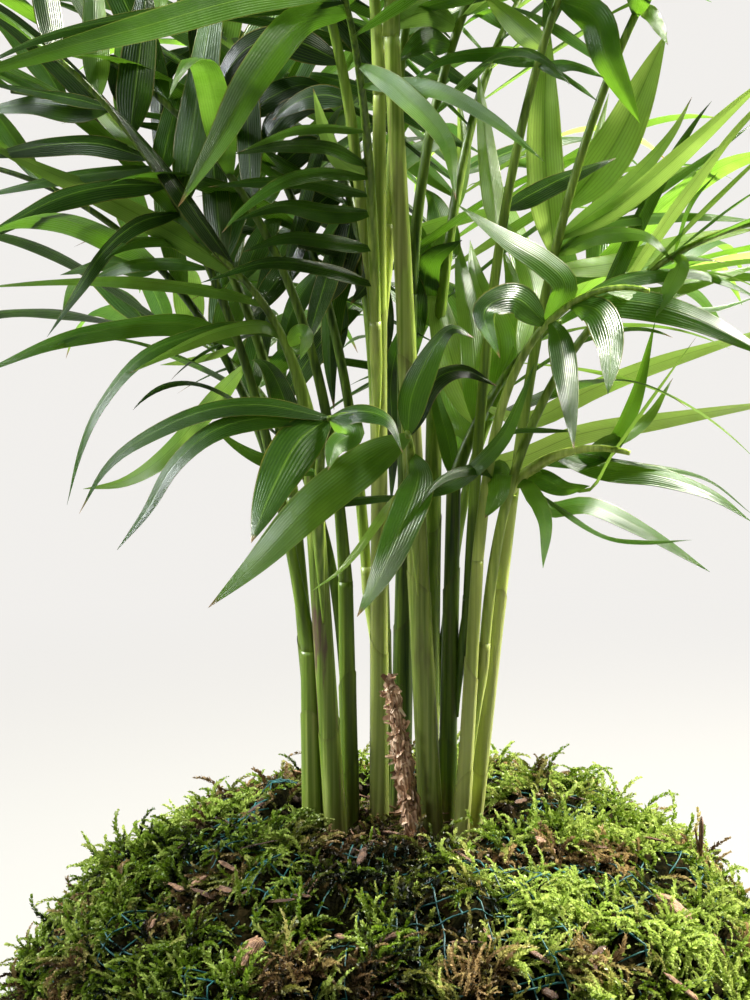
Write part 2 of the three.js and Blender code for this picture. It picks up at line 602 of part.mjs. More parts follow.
/** The pairs of leaflets of a frond by rule, with seeded draws: shorter and steeper towards its end. */
function pairedLeaflets(frond, line, seed) {
  const draw = seeded(LEAFLET.seed + 31 * seed);
  const between = ([low, high]) => mix(low, high, draw());
  const leaflets = [];
  for (let i = 0; i < frond.pairs; i += 1) {
    for (const hand of [-1, 1]) {
      const share = i / (frond.pairs - 1);
      const last = share === 1;
      const shift = last ? 0 : hand * 0.17 + between([-0.05, 0.05]);
      const along = frond.stalk + frond.leafy * Math.max(0, (i + shift) / (frond.pairs - 1)) * 0.985;
      const { point: root, way, side, up } = line.at(along);
      const angle = rad(mix(LEAFLET.angles[0], LEAFLET.angles[1], share ** 1.3) + between([-7, 7]));
      const lift = rad(between(LEAFLET.lift));
      const fullness = 0.7 + 0.3 * Math.sin(Math.PI * (0.2 + 0.62 * share));
      const length = frond.leaflet * fullness * between([0.9, 1.06]);
      const out = way.clone().multiplyScalar(Math.cos(angle)).addScaledVector(side, hand * Math.sin(angle));
      out.multiplyScalar(Math.cos(lift)).addScaledVector(up, Math.sin(lift));
      const tip = root.clone()
        .addScaledVector(out, length)
        .addScaledVector(UP, -length * between(LEAFLET.droop));
      leaflets.push({
        root,
        tip,
        arch: length * between(LEAFLET.arch),
        wide: length * between(LEAFLET.wide) * (last ? 1.2 : 1),
        roll: between(LEAFLET.roll),
        twist: between(LEAFLET.twist),
      });
    }
  }
  return leaflets;
}

/** A frond: its stalk and rib with every leaflet that finds room among the solids already built. */
function frondSolid(frond, own, seed, built) {
  const others = built.filter((other) => other !== own);
  const wanted = frond.leaves ? laidLeaflets(frond, own.line) : pairedLeaflets(frond, own.line, seed);
  const stations = frond.leaves ? LEAFLET.laid : LEAFLET.ruled;
  const blades = [];
  for (const leaflet of wanted) {
    for (const dodge of DODGES) {
      const blade = leafletSolid(dodged(leaflet, dodge), stations);
      if (isClear(blade, others)) {
        blades.push(blade);
        break;
      }
    }
  }
  return largest(wasm.Manifold.union([own.solid, ...blades]));
}

/** The dried brown sheath that stands among the stems: a curled, ragged spike. */
function drySheath() {
  const { x, y, heading, rise, fall, tall, radius, seed } = DRY_SHEATH;
  const draw = seeded(seed);
  const start = new THREE.Vector3(x, y, soilHeight(Math.hypot(x, y)) - 8);
  const line = new Line({ start, heading, rise, fall, length: tall, bend: 1 });
  const narrowed = (share) => radius * (1 - share) ** 0.7 * (0.75 + 0.5 * draw()) + 0.5;
  const shape = (share) => (share < 0.2 ? radius * 0.75 : narrowed(share));
  const hole = stalk(line, 0, 12, evenShares(1), 6, () => radius + GAP + 0.4);
  hole.translate(0, 0, -GAP);
  return { solid: solidOf(stalk(line, 0, tall, evenShares(8), 6, shape)), hole: solidOf(hole) };
}

// ---------------------------------------------------------------- the whole plant

const plant = new THREE.Group();
const built = [];
const keepIn = (solid, line) => {
  built.push({ solid, line, box: solid.boundingBox() });
  return built[built.length - 1];
};

const stemLines = STEMS.map(stemLine);
const sheath = drySheath();
const holes = [...STEMS.map((stem, i) => stemHole(stem, stemLines[i])), sheath.hole];

plant.add(mesh('moss_wrap', mossWrap(), 'moss'));
plant.add(mesh('soil_ball', soilBall(holes), 'soil'));
plant.add(mesh('net', net(), 'net'));
CHIPS.forEach((each, i) => plant.add(mesh(`bark_chip_${i + 1}`, chip(each), 'dry')));
plant.add(mesh('dry_sheath', keepIn(sheath.solid).solid, 'dry'));
STEMS.forEach((stem, i) => {
  plant.add(mesh(`stem_${i + 1}`, keepIn(stemSolid(stem, stemLines[i])).solid, 'stem'));
});

const stalks = FRONDS.map((frond) => {
  const line = frondLine(frond);
  return keepIn(frondStalk(frond, line), line);
});
FRONDS.forEach((frond, i) => {
  const own = stalks[i];
  own.solid = frondSolid(frond, own, i + 1, built);
  own.box = own.solid.boundingBox();
  plant.add(mesh(`frond_${i + 1}`, own.solid, 'frond'));
});

export default plant;
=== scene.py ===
"""A kokedama, dressed: palms with satin leaflets over a ball of feathery moss in a thin blue-green net.

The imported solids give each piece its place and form. The classes here grow the finer pieces that are seen:
the leaflets with their fold and veins, the stems with their sheaths, and the moss, sprig by sprig. Lengths
and places are in millimetres, as the solids are drawn, and become metres where a mesh is made.
"""

import logging
import math
from collections.abc import Iterator, Sequence
from dataclasses import dataclass, field, replace
from enum import Enum
from functools import cached_property

import bpy
import numpy as np
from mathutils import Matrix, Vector
from mathutils.kdtree import KDTree


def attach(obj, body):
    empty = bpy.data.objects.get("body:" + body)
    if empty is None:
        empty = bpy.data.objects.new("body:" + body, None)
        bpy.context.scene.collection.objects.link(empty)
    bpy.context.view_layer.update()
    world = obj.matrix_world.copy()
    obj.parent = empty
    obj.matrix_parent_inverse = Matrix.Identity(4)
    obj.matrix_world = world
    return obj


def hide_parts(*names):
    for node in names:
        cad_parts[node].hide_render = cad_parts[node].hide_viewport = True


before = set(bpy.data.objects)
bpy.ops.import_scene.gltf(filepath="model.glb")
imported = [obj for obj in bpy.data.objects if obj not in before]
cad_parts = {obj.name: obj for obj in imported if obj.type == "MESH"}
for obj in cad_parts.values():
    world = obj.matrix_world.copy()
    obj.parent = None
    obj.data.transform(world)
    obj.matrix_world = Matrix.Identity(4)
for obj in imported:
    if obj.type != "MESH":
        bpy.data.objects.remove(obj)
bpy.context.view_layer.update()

log = logging.getLogger("kokedama")

Array = np.ndarray
Colour = tuple[float, float, float]
Socket = bpy.types.NodeSocket
Value = Socket | float | Colour
Faces = tuple[Array, Array]  # corner numbers, and the corners' places on the colour map
Blade = tuple[Array, Array, Array]  # points, rows x columns x 3, and their places along and across
Built = tuple[Array, list[Faces], Array]  # a sprig's points, its faces and the points' places along it

MM = 0.001
UP = np.array([0.0, 0.0, 1.0])
GAP = 0.35  # between touching solids
COLOUR_MAP = "OFBake"  # the mesh's own colour map


class Slot(Enum):
    """The record's material slots."""

    MOSS = "moss"
    SOIL = "soil"
    NET = "net"
    STEM = "stem"
    LEAF = "leaf"
    DRY = "dry"


# ---------------------------------------------------------------- numbers and places


def mix(low: float | Array, high: float | Array, share: float | Array) -> float | Array:
    """A value on the way from low to high."""
    return low + (high - low) * share


def unit(vectors: Array) -> Array:
    """The vectors at length one."""
    return vectors / np.maximum(np.linalg.norm(vectors, axis=-1, keepdims=True), 1e-12)


def heading_of(degrees: float) -> Array:
    """The level way that a heading means: 0 is right and 90 is back."""
    return np.array([math.cos(math.radians(degrees)), math.sin(math.radians(degrees)), 0.0])


def turned(vectors: Array, axis: Array, degrees: float | Array) -> Array:
    """The vectors turned about a unit axis, or each about its own."""
    angle = np.radians(degrees)[..., None] if np.ndim(degrees) else math.radians(degrees)
    along = np.sum(vectors * axis, axis=-1, keepdims=True)
    cosine = np.cos(angle)
    return vectors * cosine + np.cross(axis, vectors) * np.sin(angle) + axis * along * (1 - cosine)


def polar(reach: Array | float, turn: Array, height: Array | float = 0.0) -> Array:
    """Points by their reach from the upright axis, their turn round it in radians and their height."""
    parts = np.broadcast_arrays(reach * np.cos(turn), reach * np.sin(turn), height)
    return np.stack(parts, axis=-1)


def hills(points: Array, size: float, seed: int, waves: int = 9) -> Array:
    """Smooth hills and hollows from about -1 to 1.

    Args:
        points: where they are wanted, in millimetres
        size: how far apart hills lie, in millimetres
        seed: what the waves are drawn from
        waves: how many waves are added up

    Returns:
        one height for each point
    """
    draw = np.random.default_rng(seed)
    ways = unit(draw.normal(size=(waves, 3))) * (2 * np.pi / size) * draw.uniform(0.6, 1.5, (waves, 1))
    return np.sin(points @ ways.T + draw.uniform(0, 2 * np.pi, waves)).sum(axis=-1) / math.sqrt(waves / 1.4)


class Draw:
    """The solids' own stream of numbers from 0 to 1, which is the same for the same seed."""

    def __init__(self, seed: int) -> None:
        """Starts the stream."""
        self.state = (seed * 7919 + 12345) % 2**32

    def __call__(self) -> float:
        """The next number."""
        self.state = (self.state * 1664525 + 1013904223) % 2**32
        return self.state / 2**32

    def between(self, limits: tuple[float, float]) -> float:
        """The next number, laid between two limits."""
        return mix(*limits, self())


# ---------------------------------------------------------------- meshes


@dataclass
class Shape:
    """Patches of faces that grow into one mesh, each with a place of its own on the colour map."""

    points: list[Array] = field(default_factory=list)
    corners: list[Array] = field(default_factory=list)
    places: list[Array] = field(default_factory=list)
    cells: list[Array] = field(default_factory=list)
    paints: dict[str, list[Array]] = field(default_factory=dict)
    count: int = 0
    patches: int = 0
    margin: float = 0.04  # of a patch's cell on the colour map

    def stamp(self, points: Array, faces: Sequence[Faces], **paint: Array | float) -> None:
        """Adds copies of one patch.

        Args:
            points: its points in each copy, copies x points x 3
            faces: its faces as corner numbers, and the corners' places on the patch's part of the colour map
            paint: values on the points by name, which spread to copies x points
        """
        copies, each = points.shape[:2]
        starts = self.count + each * np.arange(copies)
        self.points.append(points.reshape(-1, 3))
        for corners, places in faces:
            width = corners.shape[1]
            self.corners.append((corners[None] + starts[:, None, None]).reshape(-1, width))
            self.places.append(np.broadcast_to(places, (copies, *places.shape)).reshape(-1, 2))
            self.cells.append(np.repeat(self.patches + np.arange(copies), corners.size))
        for name, value in paint.items():
            self.paints.setdefault(name, []).append(np.broadcast_to(value, (copies, each)).ravel())
        self.count += copies * each
        self.patches += copies

    def sheet(self, points: Array, **paint: Array | float) -> None:
        """Adds a sheet.

        Args:
            points: rows x columns x 3
            paint: values by name, which spread to rows x columns
        """
        self.stamp(points.reshape(1, -1, 3), [grid_faces(*points.shape[:2])], **flat_paint(points, paint))

    def tube(self, rings: Array, **paint: Array | float) -> None:
        """Adds a closed tube.

        Args:
            rings: rings x sides x 3
            paint: values by name, which spread to rings x sides
        """
        count, sides = rings.shape[:2]
        turns = [2 * math.pi * side / sides for side in range(sides)]
        round_places = 0.5 + 0.5 * np.array([[math.cos(turn), math.sin(turn)] for turn in turns])
        first = (np.arange(sides)[None, ::-1], round_places[None])
        last = (np.arange(sides)[None] + (count - 1) * sides, round_places[None])
        faces = [grid_faces(count, sides, wrap=True), first, last]
        self.stamp(rings.reshape(1, -1, 3), faces, **flat_paint(rings, paint))

    def mesh(self, name: str) -> bpy.types.Mesh:
        """The mesh of all patches, in metres, with its colour map and painted values."""
        mesh = bpy.data.meshes.new(name)
        widths = np.concatenate([np.full(len(faces), faces.shape[1]) for faces in self.corners])
        mesh.vertices.add(self.count)
        mesh.vertices.foreach_set("co", (np.concatenate(self.points) * MM).astype(np.float32).ravel())
        mesh.loops.add(int(widths.sum()))
        corners = np.concatenate([faces.ravel() for faces in self.corners])
        mesh.loops.foreach_set("vertex_index", corners.astype(np.int32))
        mesh.polygons.add(len(widths))
        mesh.polygons.foreach_set("loop_start", (np.cumsum(widths) - widths).astype(np.int32))
        mesh.update(calc_edges=True)
        mesh.shade_smooth()
        across = math.ceil(math.sqrt(self.patches))
        cells = np.concatenate(self.cells)
        corner = np.stack([cells % across, cells // across], axis=1)
        on_map = (corner + self.margin + (1 - 2 * self.margin) * np.concatenate(self.places)) / across
        mesh.uv_layers.new(name=COLOUR_MAP).uv.foreach_set("vector", on_map.astype(np.float32).ravel())
        for value_name, values in self.paints.items():
            painted = mesh.attributes.new(value_name, "FLOAT", "POINT")
            painted.data.foreach_set("value", np.concatenate(values).astype(np.float32))
        return mesh

    def piece(self, name: str, finish: "Finish", slot: Slot, *nodes: str) -> None:
        """Makes the piece that is seen, and lets it ride on the plant.

        Args:
            name: the piece's name
            finish: what it is dressed in
            slot: the record's material slot, which is not used
            nodes: the solids that it stands for
        """
        made = bpy.data.objects.new(name, self.mesh(name))
        made.data.materials.append(finish.material())
        bpy.context.scene.collection.objects.link(made)
        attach(made, "root")
        if nodes:
            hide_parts(*nodes)
        log.info("%s: %d faces", name, len(made.data.polygons))


def flat_paint(points: Array, paint: dict[str, Array | float]) -> dict[str, Array]:
    """Painted values of a grid of points, as one copy of a patch has them."""
    return {name: np.broadcast_to(value, points.shape[:2]).reshape(1, -1) for name, value in paint.items()}


def grid_faces(rows: int, columns: int, wrap: bool = False) -> Faces:
    """The faces of a grid of points, which may wrap round from its last column to its first."""
    across = columns if wrap else columns - 1
    row, column = (index.ravel() for index in np.mgrid[0 : rows - 1, 0:across])
    after = (column + 1) % columns
    corners = np.stack([
        row * columns + column,
        row * columns + after,
        (row + 1) * columns + after,
        (row + 1) * columns + column,
    ], axis=1)
    places = np.stack([
        np.stack([column, row], axis=1),
        np.stack([column + 1, row], axis=1),
        np.stack([column + 1, row + 1], axis=1),
        np.stack([column, row + 1], axis=1),
    ], axis=1) / (across, rows - 1)
    return corners, places


def rings_along(path: Array, radii: Array | float, sides: int) -> Array:
    """Rings of points round a path.

    Args:
        path: points x 3
        radii: the radius at each point
        sides: points in a ring

    Returns:
        points x sides x 3
    """
    ways = unit(np.gradient(path, axis=0))
    mean = np.abs(ways.mean(axis=0))
    reference = np.eye(3)[int(np.argmin(mean))]
    side = unit(np.cross(ways, reference))
    up = np.cross(side, ways)
    turn = 2 * np.pi * (np.arange(sides) + 0.5) / sides
    reach = np.broadcast_to(radii, len(path))[:, None, None]
    ring = side[:, None] * np.cos(turn)[None, :, None] + up[:, None] * np.sin(turn)[None, :, None]
    return path[:, None] + reach * ring


# ---------------------------------------------------------------- finishes


class Wiring:
    """The nodes of one material, laid from painted values to the surface."""

    def __init__(self, name: str) -> None:
        """Starts an empty material."""
        self.material = bpy.data.materials.new(name)
        self.material.use_nodes = True
        self.tree = self.material.node_tree
        self.tree.nodes.clear()

    def node(self, kind: str, inputs: dict[str | int, Value], **settings: str | bool) -> bpy.types.Node:
        """Adds a node.

        Args:
            kind: its type, without ShaderNode
            inputs: what each input is joined to or set at
            settings: the node's own settings

        Returns:
            the node
        """
        node = self.tree.nodes.new("ShaderNode" + kind)
        for setting, value in settings.items():
            setattr(node, setting, value)
        for name, value in inputs.items():
            socket = node.inputs[name]
            if isinstance(value, bpy.types.NodeSocket):
                self.tree.links.new(value, socket)
            elif socket.type == "RGBA":
                socket.default_value = (*value, 1.0)
            else:
                socket.default_value = value
        return node

    def painted(self, name: str) -> Socket:
        """A value painted on the mesh."""
        return self.node("Attribute", {}, attribute_name=name).outputs["Fac"]

    def maths(self, operation: str, a: Value, b: Value = 0.0, clamp: bool = False) -> Socket:
        """The outcome of one sum."""
        return self.node("Math", {0: a, 1: b}, operation=operation, use_clamp=clamp).outputs[0]

    def scaled(self, value: Value, by: float, plus: float = 0.0) -> Socket:
        """A value times one number, plus another."""
        product = self.maths("MULTIPLY", value, by)
        return self.maths("ADD", product, plus) if plus else product

    def noise(self, size: float, detail: float = 3.0, stretch: float = 1.0) -> Socket:
        """Mottling from 0 to 1 in the plant's own space.

        Args:
            size: of its spots, in millimetres
            detail: how many finer layers it has
            stretch: how many times longer its spots are upwards

        Returns:
            the mottling
        """
        place = self.node("TexCoord", {}).outputs["Object"]
        scaled = self.node("Mapping", {"Vector": place, "Scale": (1.0, 1.0, 1.0 / stretch)})
        inputs = {"Vector": scaled.outputs[0], "Scale": 1.0 / (size * MM), "Detail": detail}
        return self.node("TexNoise", inputs).outputs["Fac"]

    def ramp(self, value: Socket, *stops: tuple[float, Colour]) -> Socket:
        """Colours along a value, from stops of place and colour."""
        node = self.node("ValToRGB", {"Fac": value})
        elements = node.color_ramp.elements
        while len(elements) < len(stops):
            elements.new(0.5)
        for element, (place, colour) in zip(elements, stops):
            element.position = place
            element.color = (*colour, 1.0)
        return node.outputs["Color"]

    def step(self, value: Socket, low: float, high: float) -> Socket:
        """0 below low, 1 above high and smooth between them; the other way round if low is above high."""
        inputs = {"Value": value, "From Min": low, "From Max": high}
        return self.node("MapRange", inputs, interpolation_type="SMOOTHSTEP").outputs["Result"]

    def blend(self, share: Value, a: Value, b: Value) -> Socket:
        """One colour laid over another; the node's colours are its inputs 6 and 7, and its output 2."""
        return self.node("Mix", {0: share, 6: a, 7: b}, data_type="RGBA").outputs[2]

    def bump(self, height: Socket, deep: float, strength: float = 1.0) -> Socket:
        """Relief from a height of 0 to 1, so many millimetres deep."""
        inputs = {"Height": height, "Distance": deep * MM, "Strength": strength}
        return self.node("Bump", inputs).outputs["Normal"]

    def solid(self, look: "Finish", colour: Value, mottle: Socket | None = None, relief: Socket | None = None,
              **settings: Value) -> bpy.types.Node:
        """A finish's surface, without what shines through it.

        Args:
            look: the finish, for how rough and how shiny it is
            colour: its colour
            mottle: where it is rougher, from 0 to 1
            relief: the way that its bumps face
            settings: more of its inputs, with _ for the spaces in their names

        Returns:
            the shader's node
        """
        least, more = look.rough
        inputs = {name.replace("_", " "): value for name, value in settings.items()}
        inputs["Base Color"] = colour
        inputs["Roughness"] = least if mottle is None else self.scaled(mottle, more, least)
        inputs["Specular IOR Level"] = look.shine
        if relief is not None:
            inputs["Normal"] = relief
        return self.node("BsdfPrincipled", inputs)

    def finish(self, shader: bpy.types.Node) -> bpy.types.Material:
        """Joins the last shader to the surface."""
        self.node("OutputMaterial", {"Surface": shader.outputs[0]})
        return self.material

    def lit_through(self, solid: bpy.types.Node, colour: Socket, share: Value) -> bpy.types.Node:
        """A thin surface that lets some light through, in its own colour."""
        through = self.node("BsdfTranslucent", {"Color": colour})
        return self.node("MixShader", {0: share, 1: solid.outputs[0], 2: through.outputs[0]})


@dataclass(frozen=True)
class Finish:
    """A surface finish, made once and shared by the pieces that wear it."""

    name: str
    rough: tuple[float, float] = (0.5, 0.0)  # at the least, and how much more where it is mottled
    shine: float = 0.5

    def material(self) -> bpy.types.Material:
        """The finish's material, made the first time that it is asked for."""
        return bpy.data.materials.get(self.name) or self.dress(Wiring(self.name))

    def dress(self, wiring: Wiring) -> bpy.types.Material:
        """Lays out the nodes."""
        raise NotImplementedError


@dataclass(frozen=True)
class LeafFinish(Finish):
    """A satin leaflet: fine lengthwise veins, a pale middle, a thin rusty edge and a dry tip."""

    shade: Colour = (0.002, 0.010, 0.001)
    middle: Colour = (0.022, 0.078, 0.006)
    light: Colour = (0.13, 0.25, 0.020)
    through_dark: Colour = (0.06, 0.20, 0.004)
    through: Colour = (0.24, 0.52, 0.03)
    through_light: Colour = (0.62, 0.86, 0.18)
    rust: Colour = (0.30, 0.22, 0.05)
    dry: Colour = (0.22, 0.14, 0.05)
    rough: tuple[float, float] = (0.22, 0.22)
    shine: float = 0.36
    veins: float = 13.0
    vein_shows: tuple[float, float] = (0.20, 0.22)  # on the leaflet, and in the light through it
    rib: tuple[float, float] = (0.09, 0.015)  # from where to where it grows pale, of half the width
    rib_shows: tuple[float, float] = (0.55, 0.35)
    edge: float = 0.93  # where it begins
    edge_shows: float = 0.55
    dry_tip: tuple[float, float] = (0.93, 0.985)  # from where to where a leaflet dries, of its length
    spots: float = 9.0
    spotted: float = 0.30
    darker: float = 0.15
    relief: float = 0.16
    let_through: tuple[float, float] = (0.05, 0.62)  # of the light, by a dark leaflet and by a light one

    def dress(self, wiring: Wiring) -> bpy.types.Material:
        """Lays out the nodes."""
        across = wiring.painted("across")
        off_middle = wiring.maths("ABSOLUTE", across)
        mottle = wiring.scaled(wiring.noise(self.spots, 4.0), self.spotted)
        tone = wiring.maths("ADD", wiring.maths("SUBTRACT", wiring.painted("tone"), self.darker), mottle)
        wave = wiring.maths("COSINE", wiring.scaled(across, math.pi * self.veins))
        vein = wiring.step(wave, 0.2, 1.0)
        rib = wiring.step(off_middle, *self.rib)
        edge = wiring.step(off_middle, self.edge, 1.0)
        dryness = wiring.maths("MULTIPLY", wiring.painted("dry"),
                               wiring.step(wiring.painted("along"), *self.dry_tip))
        body = wiring.ramp(tone, (0.0, self.shade), (0.5, self.middle), (1.0, self.light))
        body = wiring.blend(wiring.scaled(vein, self.vein_shows[0]), body, self.light)
        body = wiring.blend(wiring.scaled(rib, self.rib_shows[0]), body, self.light)
        body = wiring.blend(wiring.scaled(edge, self.edge_shows), body, self.rust)
        body = wiring.blend(dryness, body, self.dry)
        glow = wiring.ramp(tone, (0.0, self.through_dark), (0.5, self.through), (1.0, self.through_light))
        glow = wiring.blend(wiring.scaled(vein, self.vein_shows[1]), glow, self.shade)
        glow = wiring.blend(wiring.scaled(rib, self.rib_shows[1]), glow, self.middle)
        glow = wiring.blend(dryness, glow, self.dry)
        height = wiring.maths("ADD", wiring.scaled(wave, 0.35), wiring.noise(2.0, 2.0))
        solid = wiring.solid(self, body, wiring.noise(5.0), wiring.bump(height, self.relief, 0.7))
        dark, pale = self.let_through
        thin = wiring.maths("MULTIPLY", tone, pale - dark, clamp=True)
        return wiring.finish(wiring.lit_through(solid, glow, wiring.maths("ADD", thin, dark)))


@dataclass(frozen=True)
class StemFinish(Finish):
    """Smooth stems: pale streaks lengthwise, stains, and brown where they leave the soil."""

    dark: Colour = (0.014, 0.040, 0.002)
    green: Colour = (0.135, 0.215, 0.018)
    pale: Colour = (0.54, 0.62, 0.15)
    brown: Colour = (0.085, 0.045, 0.020)
    plum: Colour = (0.105, 0.055, 0.040)
    rough: tuple[float, float] = (0.28, 0.25)
    shine: float = 0.38
    streaks: float = 60.0  # how many times longer than wide
    streaked: float = 0.9
    darker: float = 0.38
    depth: tuple[float, float, float] = (0.0026, 0.0030, 0.0006)  # how far each colour goes in, in metres

    def dress(self, wiring: Wiring) -> bpy.types.Material:
        """Lays out the nodes."""
        streak = wiring.noise(1.0, 4.0, self.streaks)
        value = wiring.maths("ADD", wiring.scaled(streak, self.streaked), wiring.painted("tone"))
        value = wiring.maths("SUBTRACT", value, self.darker)
        body = wiring.ramp(value, (0.0, self.dark), (0.42, self.green), (1.0, self.pale))
        stain = wiring.step(wiring.noise(2.2, 5.0, 9.0), 0.50, 0.64)
        body = wiring.blend(wiring.maths("MULTIPLY", stain, wiring.painted("stain")), body, self.plum)
        patchy = wiring.step(wiring.noise(2.5, 4.0, 5.0), 0.25, 0.6)
        body = wiring.blend(wiring.maths("MULTIPLY", wiring.painted("low"), patchy), body, self.brown)
        relief = wiring.bump(wiring.noise(0.7, 2.0, self.streaks), 0.18, 0.7)
        return wiring.finish(wiring.solid(self, body, streak, relief, Subsurface_Weight=0.3,
                                          Subsurface_Radius=self.depth, Subsurface_Scale=1.0))


@dataclass(frozen=True)
class MossFinish(Finish):
    """Moss leaves: dark at the foot, bright yellow-green at the tips, and brown where they dried; the dark
    foot is partly painted shade, and the bright tips partly painted light.
    """

    # partly painted shade: the near-black foot of each sprig, deep in the moss
    foot: Colour = (0.003, 0.006, 0.001)
    green: Colour = (0.13, 0.22, 0.010)
    bright: Colour = (0.43, 0.54, 0.12)
    brown: Colour = (0.085, 0.048, 0.018)
    straw: Colour = (0.40, 0.28, 0.12)
    rough: tuple[float, float] = (0.45, 0.0)
    shine: float = 0.25
    tip: float = 0.45  # how much paler a leaf's tip is painted, partly as painted light
    let_through: float = 0.34

    def dress(self, wiring: Wiring) -> bpy.types.Material:
        """Lays out the nodes."""
        value = wiring.maths("ADD", wiring.scaled(wiring.painted("along"), self.tip), wiring.painted("tone"))
        living = wiring.ramp(value, (0.24, self.foot), (0.60, self.green), (1.0, self.bright))
        faded = wiring.ramp(value, (0.20, self.foot), (0.62, self.brown), (1.0, self.straw))
        body = wiring.blend(wiring.painted("dry"), living, faded)
        return wiring.finish(wiring.lit_through(wiring.solid(self, body), body, self.let_through))


@dataclass(frozen=True)
class EarthFinish(Finish):
    """Damp dark stuff in crumbs: the soil, and the mat under the moss sprigs, which is painted darker still,
    partly as painted shade between the sprigs.
    """

    deep: Colour = (0.008, 0.005, 0.003)
    body: Colour = (0.030, 0.019, 0.010)
    speck: Colour = (0.10, 0.07, 0.035)
    rough: tuple[float, float] = (0.65, 0.3)
    shine: float = 0.12
    grain: float = 2.2

    def dress(self, wiring: Wiring) -> bpy.types.Material:
        """Lays out the nodes."""
        crumbs = wiring.noise(self.grain, 6.0)
        patch = wiring.noise(self.grain * 7, 3.0)
        value = wiring.scaled(wiring.maths("ADD", crumbs, patch), 0.5)
        body = wiring.ramp(value, (0.36, self.deep), (0.50, self.body), (0.66, self.speck))
        return wiring.finish(wiring.solid(self, body, crumbs, wiring.bump(crumbs, 1.2)))


@dataclass(frozen=True)
class ThreadFinish(Finish):
    """Thin blue-green plastic thread, lighter where it is stretched."""

    dark: Colour = (0.003, 0.034, 0.033)
    light: Colour = (0.016, 0.125, 0.118)
    rough: tuple[float, float] = (0.40, 0.3)
    shine: float = 0.3

    def dress(self, wiring: Wiring) -> bpy.types.Material:
        """Lays out the nodes."""
        patch = wiring.noise(14.0, 4.0)
        body = wiring.ramp(patch, (0.35, self.dark), (0.68, self.light))
        return wiring.finish(wiring.solid(self, body, patch, wiring.bump(wiring.noise(0.8), 0.1, 0.5)))


@dataclass(frozen=True)
class DryFinish(Finish):
    """Dry plant stuff: bark splinters, the dead sheath and fibres, with a grain along them."""

    dark: Colour = (0.055, 0.022, 0.010)
    body: Colour = (0.22, 0.105, 0.048)
    pale: Colour = (0.60, 0.38, 0.21)
    rough: tuple[float, float] = (0.55, 0.3)
    grain: float = 1.2
    fibres: float = 34.0
    darker: float = 0.30

    def dress(self, wiring: Wiring) -> bpy.types.Material:
        """Lays out the nodes."""
        across = wiring.scaled(wiring.painted("across"), self.fibres)
        mottle = wiring.noise(self.grain, 5.0)
        height = wiring.maths("ADD", mottle, wiring.scaled(wiring.maths("SINE", across), 0.16))
        value = wiring.maths("SUBTRACT", wiring.maths("ADD", height, wiring.painted("tone")), self.darker)
        body = wiring.ramp(value, (0.15, self.dark), (0.5, self.body), (0.85, self.pale))
        return wiring.finish(wiring.solid(self, body, mottle, wiring.bump(height, 0.3)))


@dataclass(frozen=True)
class FloorFinish(Finish):
    """A pale floor that fades into the pale air all round."""

    paint: Colour = (0.168, 0.166, 0.161)
    air: Colour = (0.885, 0.868, 0.842)
    rough: tuple[float, float] = (0.85, 0.0)
    fade: tuple[float, float] = (240.0, 900.0)  # how far from the middle it fades
    lights: float = 0.4  # how much of the air's light it gives the plant

    def dress(self, wiring: Wiring) -> bpy.types.Material:
        """Lays out the nodes."""
        place = wiring.node("TexCoord", {}).outputs["Object"]
        reach = wiring.node("VectorMath", {0: place}, operation="LENGTH").outputs["Value"]
        matt = wiring.solid(self, self.paint)
        seen = wiring.node("LightPath", {}).outputs["Is Camera Ray"]
        strength = wiring.scaled(seen, 1 - self.lights, self.lights)
        glow = wiring.node("Emission", {"Color": self.air, "Strength": strength})
        share = wiring.step(reach, *(edge * MM for edge in self.fade))
        return wiring.finish(wiring.node("MixShader", {0: share, 1: matt.outputs[0], 2: glow.outputs[0]}))


LEAF = LeafFinish("leaf_blade")
STEM_SKIN = StemFinish("stem_skin")
MOSS = MossFinish("moss_leaves")
# The mat is painted near black: partly its own dark colour, and partly painted shade deep between the sprigs.
MAT = EarthFinish("moss_mat", deep=(0.001, 0.001, 0.000), body=(0.005, 0.005, 0.001),
                  speck=(0.026, 0.017, 0.006), shine=0.01)
EARTH = EarthFinish("damp_soil")
THREAD = ThreadFinish("net_thread")
BARK = DryFinish("bark")
HUSK = DryFinish("dry_husk", dark=(0.15, 0.070, 0.034), body=(0.40, 0.235, 0.125),
                 pale=(0.80, 0.61, 0.42), grain=1.6)
FLOOR = FloorFinish("pale_floor")


# ---------------------------------------------------------------- the ball


